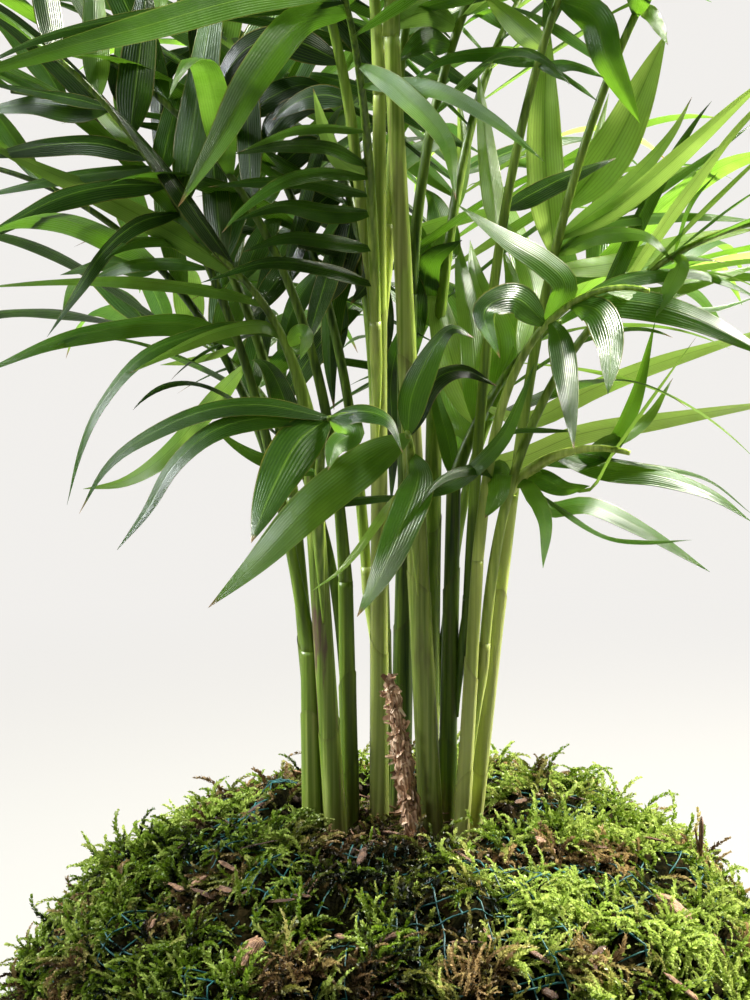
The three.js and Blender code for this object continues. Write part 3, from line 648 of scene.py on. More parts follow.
@dataclass
class Ball:
    """The form of the moss ball, which everything that lies on it is set against."""

    radius: float = 99.0
    widest: float = 59.0
    rise: float = 65.0
    depth: float = 66.5
    full: float = 2.2
    foot: float = 44.0
    mouth: float = 33.0
    lip: float = 3.0
    columns: int = 32
    rows: int = 11
    lump: float = 2.0
    lean: float = 2.0
    lump_seed: int = 11
    crown: float = 116.0
    rim: float = 113.0
    hummock: float = 1.5  # height of the finer hummocks that the solid leaves out
    hummock_size: float = 19.0
    cushion: float = 0.6
    cushion_size: float = 7.0

    def __post_init__(self) -> None:
        """Draws the lumps as the solid has them."""
        draw = Draw(self.lump_seed)
        drawn = [[self.lump * (2 * draw() - 1) for _ in range(self.columns)] for _ in range(self.rows + 1)]
        self.lumps = np.array(drawn)
        self.lumps[[0, 1, -1]] = 0.0
        self.low = -math.acos((self.foot / self.radius) ** (self.full / 2))
        self.high = math.acos((self.mouth / self.radius) ** (self.full / 2))

    def at(self, row: Array, turn: Array, out: Array | float = 0.0) -> Array:
        """Places on the moss.

        Args:
            row: from 0 at the foot to the last row at the mouth
            turn: round the ball in radians, from the right
            out: how far out of the surface

        Returns:
            the points, in millimetres
        """
        row, turn = np.broadcast_arrays(np.asarray(row, float), np.asarray(turn, float))
        angle = mix(self.low, self.high, row / self.rows)
        sine, cosine = np.sin(angle), np.cos(angle)
        power = 2 / self.full
        reach = self.radius * cosine**power
        half = np.where(angle > 0, self.rise, self.depth)
        height = self.widest + half * np.sign(sine) * np.abs(sine) ** power
        lump = self.lump_at(row, turn) + out
        shoulder = np.maximum(0, np.sin(2 * angle)) * self.lean * np.cos(turn)
        return polar(reach + lump * cosine + shoulder, turn, height + lump * sine + shoulder)

    def lump_at(self, row: Array, turn: Array) -> Array:
        """How far the cushions of moss stand out, eased between the solid's points."""
        column = (turn / (2 * np.pi) * self.columns) % self.columns
        row = np.clip(row, 0, self.rows - 1e-6)
        r, c = np.floor(row).astype(int), np.floor(column).astype(int) % self.columns
        ease_r, ease_c = (s * s * (3 - 2 * s) for s in (row - np.floor(row), column - np.floor(column)))
        after = (c + 1) % self.columns
        lower = mix(self.lumps[r, c], self.lumps[r, after], ease_c)
        upper = mix(self.lumps[r + 1, c], self.lumps[r + 1, after], ease_c)
        return mix(lower, upper, ease_r)

    def mossy(self, row: Array, turn: Array, out: Array | float = 0.0) -> Array:
        """Places on the moss with its finer hummocks and hollows."""
        smooth = self.at(row, turn)
        swell = self.hummock * hills(smooth, self.hummock_size, 3)
        swell = swell + self.cushion * hills(smooth, self.cushion_size, 4)
        swell = swell * np.clip(np.asarray(row, float) / 1.5, 0, 1)
        return self.at(row, turn, swell + out)

    def out_of(self, row: Array, turn: Array) -> Array:
        """The way straight out of the moss."""
        step = 0.02
        up = self.at(row + step, turn) - self.at(row - step, turn)
        round_ = self.at(row, turn + step) - self.at(row, turn - step)
        return unit(np.cross(round_, up))

    def soil_height(self, distance: float | Array) -> float | Array:
        """The height of the bare soil so far from the middle."""
        return mix(self.crown, self.rim, distance / (self.mouth - self.lip))

    def scatter(self, count: int, rows: tuple[float, float],
                draw: np.random.Generator) -> tuple[Array, Array]:
        """Draws places that lie evenly over the moss between two rows, as rows and turns."""
        table = np.linspace(*rows, 400)
        points = self.at(table, np.zeros_like(table))
        ring = points[:, 0]
        strip = np.linalg.norm(np.gradient(points, axis=0), axis=1) * ring
        share = np.cumsum(strip) / strip.sum()
        return np.interp(draw.uniform(size=count), share, table), draw.uniform(0, 2 * np.pi, count)

    @cached_property
    def seen_side(self) -> tuple[Array, Array, Array]:
        """The side that the photograph shows: rows, turns, and where they come out in its pixels."""
        near = np.linspace(np.pi, 2 * np.pi, 300)
        rows, turns = np.meshgrid(np.linspace(2, self.rows, 140), near, indexing="ij")
        points = self.at(rows, turns)
        faces_us = (self.out_of(rows, turns) * (points - np.array(VIEW.eye))).sum(axis=-1) < 0
        return rows[faces_us], turns[faces_us], VIEW.pixels_of(points[faces_us])

    def under(self, pixel: tuple[float, float]) -> tuple[float, float]:
        """The place on the moss, as row and turn, that comes out at a pixel of the photograph."""
        rows, turns, pixels = self.seen_side
        nearest = int(np.argmin(np.linalg.norm(pixels - pixel, axis=1)))
        return float(rows[nearest]), float(turns[nearest])

    @cached_property
    def patches(self) -> dict["Cover", list[tuple[Array, float]]]:
        """The middles and reaches of the patches that the photograph shows."""
        return {cover: [(self.at(*self.under((x, y))), reach) for x, y, reach in rows]
                for cover, rows in PATCHES.items()}

    def share_of(self, cover: "Cover", points: Array) -> Array:
        """How much of one cover the moss has at points, from 0 to 1: in the seen patches and by chance."""
        by_chance = hills(points, cover.size, cover.seed, 7)
        share = np.clip((by_chance - cover.rarity) * 1.6, 0, 1)
        for middle, reach in self.patches[cover]:
            away = np.linalg.norm(points - middle, axis=-1) / reach
            share = np.maximum(share, np.clip(1.7 * np.exp(-away**2) - 0.1, 0, 1))
        return share


class Cover(Enum):
    """What a patch of the moss is like, and the size, seed and rarity of those that lie there by chance."""

    DRY = (24.0, 33, 0.62)
    # hollows, where the sprigs are painted darker as painted shade
    SHADED_HOLLOW = (17.0, 31, 0.70)
    NET = (30.0, 41, 0.78)
    LUSH = (22.0, 37, 0.55)

    @property
    def size(self) -> float:
        """How far apart such patches lie."""
        return self.value[0]

    @property
    def seed(self) -> int:
        """What they are drawn from."""
        return self.value[1]

    @property
    def rarity(self) -> float:
        """How rare they are."""
        return self.value[2]


# Patches of the moss that the photograph shows: their middles in its pixels, and their reach.
PATCHES = {
    # hollows, where sprigs are fewer and painted darker as painted shade; the largest of them in front of the
    # stems
    Cover.SHADED_HOLLOW: (
        (372, 872, 11), (335, 900, 10), (425, 885, 6), (400, 905, 6), (440, 950, 6), (180, 848, 6),
        (240, 948, 8), (130, 936, 8), (545, 816, 6), (380, 985, 8), (560, 990, 5), (265, 866, 4),
    ),
    # moss that dried
    Cover.DRY: (
        (205, 905, 8), (160, 930, 7), (70, 980, 9), (290, 975, 8), (535, 802, 9), (590, 958, 6),
        (445, 935, 8), (330, 842, 9), (400, 850, 8), (258, 806, 6), (645, 900, 4), (480, 985, 8),
        (560, 985, 4), (200, 822, 5), (490, 780, 7),
    ),
    # net that shows
    Cover.NET: (
        (232, 850, 8), (245, 815, 8), (296, 803, 6), (484, 872, 5), (520, 878, 8), (575, 878, 7),
        (620, 888, 9), (498, 925, 6), (562, 940, 6), (570, 812, 7), (536, 770, 5), (118, 950, 7),
        (630, 945, 4),
    ),
    # bright tufts
    Cover.LUSH: (
        (290, 935, 10), (200, 930, 5), (520, 945, 12), (540, 900, 11), (610, 925, 11), (445, 835, 6),
        (285, 830, 7), (160, 865, 6), (455, 970, 5), (660, 940, 12), (60, 940, 8), (200, 975, 6),
    ),
}


class Sprig(Enum):
    """The kinds of moss sprig: their length in millimetres, how bent they are and their leaves' number."""

    FEATHER = (10.0, -0.42, 36)
    TUFT = (7.0, -0.22, 28)
    STAR = (4.5, -0.05, 18)

    @property
    def length(self) -> float:
        """How long the sprig is."""
        return self.value[0]

    @property
    def bend(self) -> float:
        """How far its tip bends over, of its length."""
        return self.value[1]

    @property
    def leaves(self) -> int:
        """How many leaves it has."""
        return self.value[2]


@dataclass
class SprigPattern:
    """One sprig, lying along X with Z out of the moss: a thread with small pointed leaves all round it."""

    kind: Sprig
    seed: int
    thread: float = 0.16
    leaf: float = 1.1
    leaf_wide: float = 0.84

    def build(self) -> Built:
        """Grows the sprig.

        Returns:
            its points, its faces, and how far along the sprig each point is
        """
        draw = np.random.default_rng(self.seed)
        length = self.kind.length
        bend = self.kind.bend * draw.uniform(0.6, 1.4)
        sway = draw.uniform(-0.35, 0.35)

        def middle(share: Array) -> Array:
            """The thread's middle line."""
            return np.stack([
                length * share * (1 - 0.2 * share**2),
                length * sway * share**2,
                length * (0.12 * share + bend * share**2.4),
            ], axis=-1)

        shares = np.linspace(0, 1, 4)
        rings = rings_along(middle(shares), self.thread * (1.15 - shares), 3)
        points, along = [rings.reshape(-1, 3)], [np.repeat(shares, 3)]
        corners, places = grid_faces(4, 3, wrap=True)
        total = 12
        leaves = []
        for k in range(self.kind.leaves):
            share = (k + 1.0) / (self.kind.leaves + 0.3)
            foot = middle(np.array(share))
            way = unit(middle(np.array(share + 0.01)) - foot)
            side = unit(np.cross(way, UP))
            turn = k * 137.5 + draw.uniform(-20, 20)
            outward = turned(side, way, turn)
            open_angle = math.radians(mix(42, 20, share) + draw.uniform(-12, 12))
            size = self.leaf * (1.0 - 0.45 * share**3) * draw.uniform(0.8, 1.15)
            reach = way * math.cos(open_angle) + outward * math.sin(open_angle)
            flank = unit(np.cross(reach, outward)) * self.leaf_wide * size / self.leaf * 0.5
            belly = foot + reach * size * 0.42
            tip = foot + reach * size + outward * size * draw.uniform(-0.05, 0.25)
            points.append(np.stack([foot, belly - flank, tip, belly + flank]))
            along.append(np.array([share, share, min(1.0, share + 0.12), share]))
            leaves.append([total, total + 1, total + 2, total + 3])
            total += 4
        column = np.linspace(0, 1, 4)[[0, 1, 2, 1]]
        feet = np.linspace(0.05, 0.9, len(leaves))
        leaf_places = np.array([[*zip(column, (foot, foot, foot + 0.1, foot))] for foot in feet])
        faces = [(corners, places), (np.array(leaves), leaf_places)]
        return np.concatenate(points), faces, np.concatenate(along)


@dataclass
class Bed:
    """Places for sprigs: where each is rooted, its axes as rows, how pale and how dry it is."""

    root: Array
    axes: Array
    tone: Array
    dry: Array
    lowest: float = 0.15  # that a sprig's points may lie

    def plant(self, shape: Shape, built: Built, some: Array) -> None:
        """Sets one sprig at some of the places."""
        pattern, faces, along = built
        points = self.root[some][:, None] + pattern @ self.axes[some]
        points[..., 2] = np.maximum(points[..., 2], self.lowest)
        shape.stamp(points, faces, along=along[None], tone=self.tone[some][:, None],
                    dry=self.dry[some][:, None])


@dataclass
class Moss:
    """The moss: a dark mat, and the sprigs that cover it."""

    ball: Ball
    mat_columns: int = 300
    mat_rows: int = 150
    tufts: int = 2300
    in_tuft: int = 15
    tuft_wide: float = 2.6
    on_soil: int = 1500
    sectors: int = 18
    patterns: int = 8  # of each kind
    kinds: tuple[Sprig, ...] = (Sprig.FEATHER,) * 5 + (Sprig.TUFT,) * 3 + (Sprig.STAR,) * 2
    bare: tuple[float, float] = (0.12, 0.10)  # the share that is missing in hollows and over bare net
    flow: tuple[float, float] = (150.0, 34.0)  # how far the tufts' way swings, and over what length
    splay: float = 0.9  # how far a tuft's sprigs turn away from its middle
    stray: float = 0.35
    upright: float = 0.05  # the share that stands up
    lean: tuple[float, float, float] = (20.0, 15.0, 10.0)  # in degrees, and its spread by sprig and by tuft
    dry_spread: float = 0.14
    sunny: float = 0.13  # how much paler the moss is painted on the sunny side, as painted light
    shaded: float = 0.12  # how much darker it is painted round the stems, as painted shade
    tone: tuple[float, float, float] = (0.38, 0.15, 0.09)  # and its spread by tuft and by sprig
    lush: float = 0.24
    # painted shade: how much darker the sprigs are painted in the hollows
    deep: float = 0.32
    rooted: float = 0.8  # how far in the moss a sprig's root lies
    mat_sunk: float = 1.0
    soil_tone: tuple[float, float] = (0.22, 0.14)  # of the sprigs on the soil, and its spread
    soil_dry: tuple[float, float] = (0.65, 0.35)
    seed: int = 21

    def build(self) -> None:
        """Makes the mat and the sprigs, in sectors round the ball."""
        self.mat()
        self.cover()
        self.between_stems()

    def mat(self) -> None:
        """The mat: the whole ball's skin, closed under the foot and over the crown."""
        turn = 2 * np.pi * np.arange(self.mat_columns) / self.mat_columns
        row = np.linspace(0, self.ball.rows, self.mat_rows)
        skin = self.ball.mossy(row[:, None], turn[None, :], -self.mat_sunk)
        rough = 0.7 * hills(skin, 3.4, 5) + 0.5 * hills(skin, 1.9, 6)
        rough = rough * np.clip(row / 2, 0, 1)[:, None] - self.mat_sunk
        skin = self.ball.mossy(row[:, None], turn[None, :], rough)
        skin[..., 2] = np.maximum(skin[..., 2], 0.0)
        skin[0, :, 2] = 0.0
        circle = polar(1.0, turn)
        under = self.ball.foot * np.array([0.02, 0.5])[:, None, None] * circle
        inner = self.ball.mouth - self.ball.lip
        over = [
            circle * inner + UP * (self.ball.rim + 0.5),
            circle * inner * 0.5 + UP * (self.ball.rim - 4),
            circle * 0.5 + UP * (self.ball.rim - 4),
        ]
        shape = Shape()
        shape.tube(np.concatenate([under, skin, np.stack(over)]))
        shape.piece("moss_mat", MAT, Slot.MOSS, "moss_wrap")

    def cover(self) -> None:
        """Sets the sprigs in tufts that splay out from their middles, fewer in the hollows; their tone is
        painted darker in the hollows and round the stems as painted shade, and paler on the right as painted
        light.
        """
        draw = np.random.default_rng(self.seed)
        row, turn = self.ball.scatter(self.tufts, (0.9, self.ball.rows), draw)
        count = draw.poisson(self.in_tuft, self.tufts)
        tuft = np.repeat(np.arange(self.tufts), count)
        middle = self.ball.at(row, turn)
        per_row = np.linalg.norm(self.ball.at(row + 0.1, turn) - middle, axis=1) / 0.1
        spread = draw.normal(0, self.tuft_wide, (len(tuft), 2))
        ring = np.linalg.norm(middle[tuft, :2], axis=1)
        whole = self.ball.rows
        row = np.clip(row[tuft] + spread[:, 0] / per_row[tuft], 0.8, whole + 0.2)
        turn = (turn[tuft] + spread[:, 1] / ring) % (2 * np.pi)
        root = self.ball.mossy(row, turn, -self.rooted)
        deep, dry, net, lush = (self.ball.share_of(cover, root) for cover in
                                (Cover.SHADED_HOLLOW, Cover.DRY, Cover.NET, Cover.LUSH))
        keep = draw.uniform(size=len(row)) > np.maximum(self.bare[0] * deep, self.bare[1] * net)
        row, turn, root, tuft, spread = row[keep], turn[keep], root[keep], tuft[keep], spread[keep]
        deep, dry, net, lush = deep[keep], dry[keep], net[keep], lush[keep]
        out = self.ball.out_of(row, turn)
        down = unit(np.cross(out, np.cross(out, UP)))
        round_ = np.cross(out, down)
        swing, length = self.flow
        flow = np.radians(swing * hills(middle, length, 32) + draw.normal(0, 35, self.tufts))[tuft, None]
        lie = down * np.cos(flow) + round_ * np.sin(flow)
        splay = (-down * spread[:, :1] + round_ * spread[:, 1:]) / self.tuft_wide
        lie = unit(lie + self.splay * splay + self.stray * draw.normal(size=(len(row), 3)))
        lie = unit(lie - out * (lie * out).sum(axis=1, keepdims=True))
        upright = draw.uniform(size=len(row)) < self.upright
        usual, by_sprig, by_tuft = self.lean
        high = draw.uniform(50, 88, len(row))
        low = draw.normal(usual, by_sprig, len(row)) + draw.normal(0, by_tuft, self.tufts)[tuft]
        lean = np.radians(np.where(upright, high, np.clip(low, -6, 80)))[:, None]
        way = lie * np.cos(lean) + out * np.sin(lean)
        dry = np.clip(dry * 1.1 + draw.normal(0, self.dry_spread, len(row)), 0, 1)
        # Painted light makes the sprigs paler to the right, and painted shade makes them darker round the
        # stems.
        painted_light_and_shade = self.sunny * np.clip(root[:, 0] / 70, -0.6, 1)
        away = np.linalg.norm(root[:, :2], axis=1) / self.ball.mouth
        painted_light_and_shade = painted_light_and_shade - self.shaded * np.clip(1.6 - away, 0, 1)
        usual, by_tuft, by_sprig = self.tone
        tone = usual + painted_light_and_shade + draw.normal(0, by_tuft, self.tufts)[tuft] + draw.normal(0, by_sprig, len(row))
        # The hollows are painted darker, as painted shade.
        tone = np.clip(tone + self.lush * lush - self.deep * deep, 0.0, 1)
        kind = draw.integers(0, len(self.kinds), len(row))
        size = draw.uniform(0.62, 1.25, len(row)) * (1 - 0.3 * net) * (1 - 0.15 * deep) + 0.35 * upright
        sector = (turn / (2 * np.pi) * self.sectors).astype(int) % self.sectors
        spin = draw.normal(0, 32, len(row))
        which = draw.integers(0, self.patterns, len(row))
        side = turned(unit(np.cross(out, way)), way, spin)
        axes = np.stack([way, side, np.cross(way, side)], axis=1) * size[:, None, None]
        bed = Bed(root, axes, tone, dry)
        shapes = [Shape() for _ in range(self.sectors)]
        for sprig in Sprig:
            of_kind = np.isin(kind, [index for index, choice in enumerate(self.kinds) if choice is sprig])
            for number in range(self.patterns):
                built = SprigPattern(sprig, 100 * number + sprig.leaves).build()
                for index, shape in enumerate(shapes):
                    bed.plant(shape, built, of_kind & (which == number) & (sector == index))
        for index, shape in enumerate(shapes):
            shape.piece(f"moss_sprigs_{index + 1}", MOSS, Slot.MOSS)

    def between_stems(self) -> None:
        """Small, mostly dead sprigs that stand on the soil between the stems and lean against their feet."""
        draw = np.random.default_rng(self.seed + 1)
        reach = self.ball.mouth * np.sqrt(draw.uniform(0.0, 1.0, self.on_soil))
        turn = draw.uniform(0, 2 * np.pi, self.on_soil)
        root = polar(reach, turn, self.ball.soil_height(reach) - 0.3)
        for stem in STEMS:
            clear = np.linalg.norm(root[:, :2] - (stem.x, stem.y), axis=1) > stem.radius + 0.9
            root = root[clear]
        count = len(root)
        lean = np.radians(draw.uniform(8, 70, count))[:, None]
        way = polar(1.0, draw.uniform(0, 2 * np.pi, count)) * np.cos(lean) + UP * np.sin(lean)
        side = unit(np.cross(UP, way))
        size = draw.uniform(0.5, 1.0, count)[:, None, None]
        axes = np.stack([way, side, np.cross(way, side)], axis=1) * size
        tone = np.clip(draw.normal(*self.soil_tone, count), 0, 1)
        dry = np.clip(draw.normal(*self.soil_dry, count), 0, 1)
        which = draw.integers(0, self.patterns, count)
        shape = Shape()
        bed = Bed(root, axes, tone, dry)
        for number in range(self.patterns):
            bed.plant(shape, SprigPattern(Sprig.TUFT, 900 + number).build(), which == number)
        shape.piece("moss_between_stems", MOSS, Slot.MOSS)


@dataclass
class Net:
    """The net over the moss: the solid's strands, and the finer threads between them."""

    ball: Ball
    meridians: int = 80
    hoops: int = 26
    main_meridians: int = 8
    main_hoops: tuple[int, ...] = (4, 8)
    thread: float = 0.22
    main: float = 0.28
    lift: float = 1.3
    sunk: float = 1.1
    wander: tuple[float, float, float] = (0.2, 0.04, 0.008)  # in millimetres out, in rows and in radians

    def strand(self, shape: Shape, row: Array, turn: Array, radius: float, seed: int) -> None:
        """Lays one thread over the moss, where it shows only here and there."""
        plain = self.ball.mossy(row, turn)
        out, up, round_ = self.wander
        wander = hills(plain, 24.0, seed)
        dip = mix(-self.sunk, self.lift, self.ball.share_of(Cover.NET, plain)) + out * wander
        path = self.ball.mossy(row + up * wander, turn + round_ * hills(plain, 23.0, seed + 1), dip)
        shape.tube(rings_along(path, radius, 4))

    def build(self) -> None:
        """Makes the net as one piece."""
        shape = Shape()
        row = np.linspace(1, self.ball.rows - 0.05, 90)
        for index in range(self.meridians):
            main = index % (self.meridians // self.main_meridians) == 0
            turn = np.full_like(row, 2 * np.pi * index / self.meridians)
            self.strand(shape, row, turn, self.main if main else self.thread, 50 + index)
        turn = np.linspace(0, 2 * np.pi, 241)
        levels = [*np.linspace(1.3, self.ball.rows - 0.2, self.hoops), *self.main_hoops]
        for index, level in enumerate(levels):
            radius = self.main if level in self.main_hoops else self.thread
            self.strand(shape, np.full_like(turn, level), turn, radius, 200)
        shape.piece("net_threads", THREAD, Slot.NET, "net")


# ---------------------------------------------------------------- the palms


@dataclass
class Line:
    """A stalk's middle line: it sets off at one slope and bends in its upright plane to another."""

    start: Array
    heading: float
    rise: float
    fall: float
    length: float
    bend: float = 1.7
    steps: int = 64

    def __post_init__(self) -> None:
        """Walks the line as the solids do."""
        flat = heading_of(self.heading)
        self.side = np.cross(flat, UP)
        share = (np.arange(self.steps + 1) / self.steps) ** self.bend
        slope = np.radians(mix(self.rise, self.fall, share))[:, None]
        self.ways = flat * np.cos(slope) + UP * np.sin(slope)
        steps = (self.ways[:-1] + self.ways[1:]) * 0.5 * self.length / self.steps
        self.points = self.start + np.concatenate([np.zeros((1, 3)), np.cumsum(steps, axis=0)])

    def at(self, along: float) -> tuple[Array, Array, Array]:
        """The point, the way on and the upper side at a length along the line."""
        share = min(max(along / self.length, 0.0), 1.0) * self.steps
        index = min(int(share), self.steps - 1)
        way = unit(mix(self.ways[index], self.ways[index + 1], share - index))
        return mix(self.points[index], self.points[index + 1], share - index), way, np.cross(self.side, way)

    def path(self, start: float, end: float, count: int) -> Array:
        """Points along a stretch of the line, which may begin a little before it."""
        alongs = np.linspace(start, end, count)
        points = np.array([self.at(along)[0] for along in alongs])
        return points + self.ways[0] * np.minimum(alongs, 0)[:, None]


@dataclass
class Stem:
    """A palm stem: where it leaves the soil, which way and how far it leans, how tall and how thick it is."""

    x: float
    y: float
    heading: float
    lean: float
    tall: float
    radius: float
    tone: float = 0.35
    stain: float = 0.15
    sunk: float = 22.0
    taper: float = 0.74
    slim: float = 0.64  # what the tall stems really taper to
    slim_from: float = 120.0

    def line(self, ball: Ball) -> Line:
        """The stem's middle line, from its foot in the soil."""
        height = ball.soil_height(math.hypot(self.x, self.y)) - self.sunk
        start = np.array([self.x, self.y, height])
        start = start - heading_of(self.heading) * self.sunk * math.tan(math.radians(self.lean))
        slope = 90 - self.lean
        return Line(start, self.heading, slope, slope, self.tall + self.sunk)

    def radius_at(self, share: float | Array) -> float | Array:
        """The radius at a share of the whole length."""
        return self.radius * mix(1, self.slim if self.tall > self.slim_from else self.taper, share)


@dataclass
class Leaflet:
    """A leaflet's place: its root and tip, how it arches over the line between, its width, roll and twist."""

    root: Array
    tip: Array
    arch: float
    wide: float
    roll: float
    twist: float = 0.0
    arched: float = 2.6  # brings the curve's top to the arch's height

    def dodged(self, up: float, around: float, short: float) -> "Leaflet":
        """The same leaflet turned up and round its root, and shortened."""
        chord = (self.tip - self.root) * short
        side = unit(np.array([chord[1], -chord[0], 0.0]))
        chord = turned(turned(chord, side, up), UP, around)
        return replace(self, tip=self.root + chord, arch=self.arch * short)

    def blade(self, draw: np.random.Generator, rows: int, columns: int) -> Blade:
        """The thin folded blade.

        Args:
            draw: for its waves and its sway
            rows: points along it
            columns: points across it

        Returns:
            its points, rows x columns x 3, and their places along it and across it
        """
        u = np.linspace(0, 1, rows)[:, None]
        chord = self.tip - self.root
        length = np.linalg.norm(chord)
        level = unit(np.array([chord[1], -chord[0], 0.0]))
        sway = draw.uniform(-0.035, 0.035) * length
        droop = draw.uniform(0.0, 0.03) * length
        point = self.root + chord * u + UP * self.arch * self.arched * u * (1 - u * u)
        point = point + level * sway * np.sin(np.pi * u) * u - UP * droop * u**4
        way = unit(chord + UP * self.arch * self.arched * (1 - 3 * u * u))
        side = turned(np.broadcast_to(level, way.shape), way, (self.roll + self.twist * u)[:, 0])
        return folded(point, side, np.cross(side, way), self.wide, draw, columns)


@dataclass(frozen=True)
class View:
    """The photograph's view, which the camera has and the seen leaflets are placed by."""

    eye: tuple[float, float, float] = (-5.1, -620.0, 300.0)
    tilt: float = -9.0
    tall_view: float = 23.0  # degrees from the picture's top to its foot
    wide_pixels: int = 750
    tall_pixels: int = 1000

    def axes(self) -> tuple[Array, Array, Array]:
        """The ways to the right, up and forward in the picture."""
        tilt = math.radians(self.tilt)
        forward = np.array([0.0, math.cos(tilt), math.sin(tilt)])
        right = np.array([1.0, 0.0, 0.0])
        return right, np.cross(right, forward), forward

    def pixels_of(self, points: Array) -> Array:
        """Where points come out in the picture."""
        right, up, forward = self.axes()
        away = points - np.array(self.eye)
        reach = self.tall_pixels / 2 / math.tan(math.radians(self.tall_view / 2)) / (away @ forward)
        x = self.wide_pixels / 2 + away @ right * reach
        y = self.tall_pixels / 2 - away @ up * reach
        return np.stack([x, y], axis=-1)

    def places_of(self, pixels: Array, deep: Array) -> Array:
        """The points that come out at pixels of the picture and lie so deep, as their Y."""
        right, up, forward = self.axes()
        scale = 2 * math.tan(math.radians(self.tall_view / 2)) / self.tall_pixels
        across = (pixels[:, 0] - self.wide_pixels / 2) * scale
        upward = (self.tall_pixels / 2 - pixels[:, 1]) * scale
        ray = forward + across[:, None] * right + upward[:, None] * up
        return np.array(self.eye) + ray * ((deep - self.eye[1]) / ray[:, 1])[:, None]


VIEW = View()


def curve_through(points: Array, count: int) -> Array:
    """A smooth curve through points, as so many points along it."""
    ends = np.concatenate([[2 * points[0] - points[1]], points, [2 * points[-1] - points[-2]]])
    place = np.linspace(0, len(points) - 1 - 1e-9, count)
    index = place.astype(int)
    s = (place - index)[:, None]
    a, b, c, d = (ends[index + k] for k in range(4))
    curve = 0.5 * (2 * b + (c - a) * s + (2 * a - 5 * b + 4 * c - d) * s**2 + (3 * b - a - 3 * c + d) * s**3)
    lengths = np.concatenate([[0], np.cumsum(np.linalg.norm(np.diff(curve, axis=0), axis=1))])
    even = np.linspace(0, lengths[-1], count)
    return np.stack([np.interp(even, lengths, curve[:, axis]) for axis in range(3)], axis=-1)


@dataclass(frozen=True)
class Seen:
    """A leaflet that the photograph shows plainly.

    Its middle line is given in the photograph's pixels, from near its root on the frond's stalk to its tip,
    whose depth is a Y in millimetres. Facing is 90 degrees where its upper side looks at the camera and 0
    where the leaflet is seen edge on.
    """

    frond: int
    pixels: tuple[tuple[float, float], ...]
    deep: float
    wide: float
    facing: float
    # how pale it is painted, from 0 to 1: partly its own colour and partly painted light and shade, darker
    # where it hangs in shade and paler where light shines through it
    tone: float

    def blade(self, line: Line, draw: np.random.Generator, rows: int, columns: int) -> Blade:
        """The thin folded blade, from the nearest point of its frond's stalk.

        Args:
            line: the stalk's middle line
            draw: for its waves
            rows: points along it
            columns: points across it

        Returns:
            its points, rows x columns x 3, and their places along it and across it
        """
        pixels = np.array(self.pixels, float)
        gaps = np.linalg.norm(VIEW.pixels_of(line.points) - pixels[0], axis=1)
        root = line.points[int(np.argmin(gaps))]
        share = np.linalg.norm(np.diff(pixels, axis=0), axis=1).cumsum()
        share = share / share[-1]
        places = VIEW.places_of(pixels[1:], mix(root[1], self.deep, share))
        middle = curve_through(np.concatenate([[root], places]), rows)
        way = unit(np.gradient(middle, axis=0))
        view = unit(middle - np.array(VIEW.eye))
        level = unit(np.cross(way, view))
        level = level * np.where(level.mean(axis=0)[2] < 0, -1, 1)
        toward = unit(np.cross(level, way))
        toward = toward * np.where((toward * view).sum(axis=1).mean() > 0, -1, 1)
        angle = np.radians(self.facing + draw.uniform(-14, 14) * np.linspace(-1, 1, rows))[:, None]
        normal = toward * np.sin(angle) + level * np.cos(angle)
        side = unit(np.cross(way, normal))
        return folded(middle, side, np.cross(side, way) * np.sign((np.cross(side, way) * normal).sum()),
                      self.wide, draw, columns)


def folded(middle: Array, side: Array, face: Array, wide: float, draw: np.random.Generator,
           columns: int) -> Blade:
    """A leaflet's blade round its middle line: folded down from its rib, lightly pleated and waved.

    Args:
        middle: the middle line
        side: the way to one side at each of its points
        face: the way out of the upper side
        wide: the greatest width
        draw: for the fold and the waves
        columns: points across it

    Returns:
        its points, rows x columns x 3, and their places along it and across it
    """
    u = np.linspace(0, 1, len(middle))[:, None]
    t = np.linspace(-1, 1, columns)[None, :]
    rise = 1 - (1 - np.clip(u / 0.26, 0, 1)) ** 2
    taper = 1 - np.clip((u - 0.30) / 0.70, 0, 1) ** 1.8
    half = np.maximum(wide * 0.5 * mix(0.20, 1.0, rise) * taper, 0.04)
    fold = draw.uniform(0.14, 0.34)
    waves, phase = draw.uniform(1.2, 2.6), draw.uniform(0, 2 * np.pi)
    wavy = 0.09 * t**2 * np.sin(2 * np.pi * waves * u + phase + np.sign(t)) * np.sin(np.pi * u)
    pleat = 0.025 * np.cos(4 * np.pi * t)
    lower = (-fold * np.abs(t) ** 1.15 + wavy + pleat) * half
    points = middle[:, None] + side[:, None] * (half * t)[..., None] + face[:, None] * lower[..., None]
    shape = (len(middle), columns)
    return points, np.broadcast_to(u, shape), np.broadcast_to(t, shape)


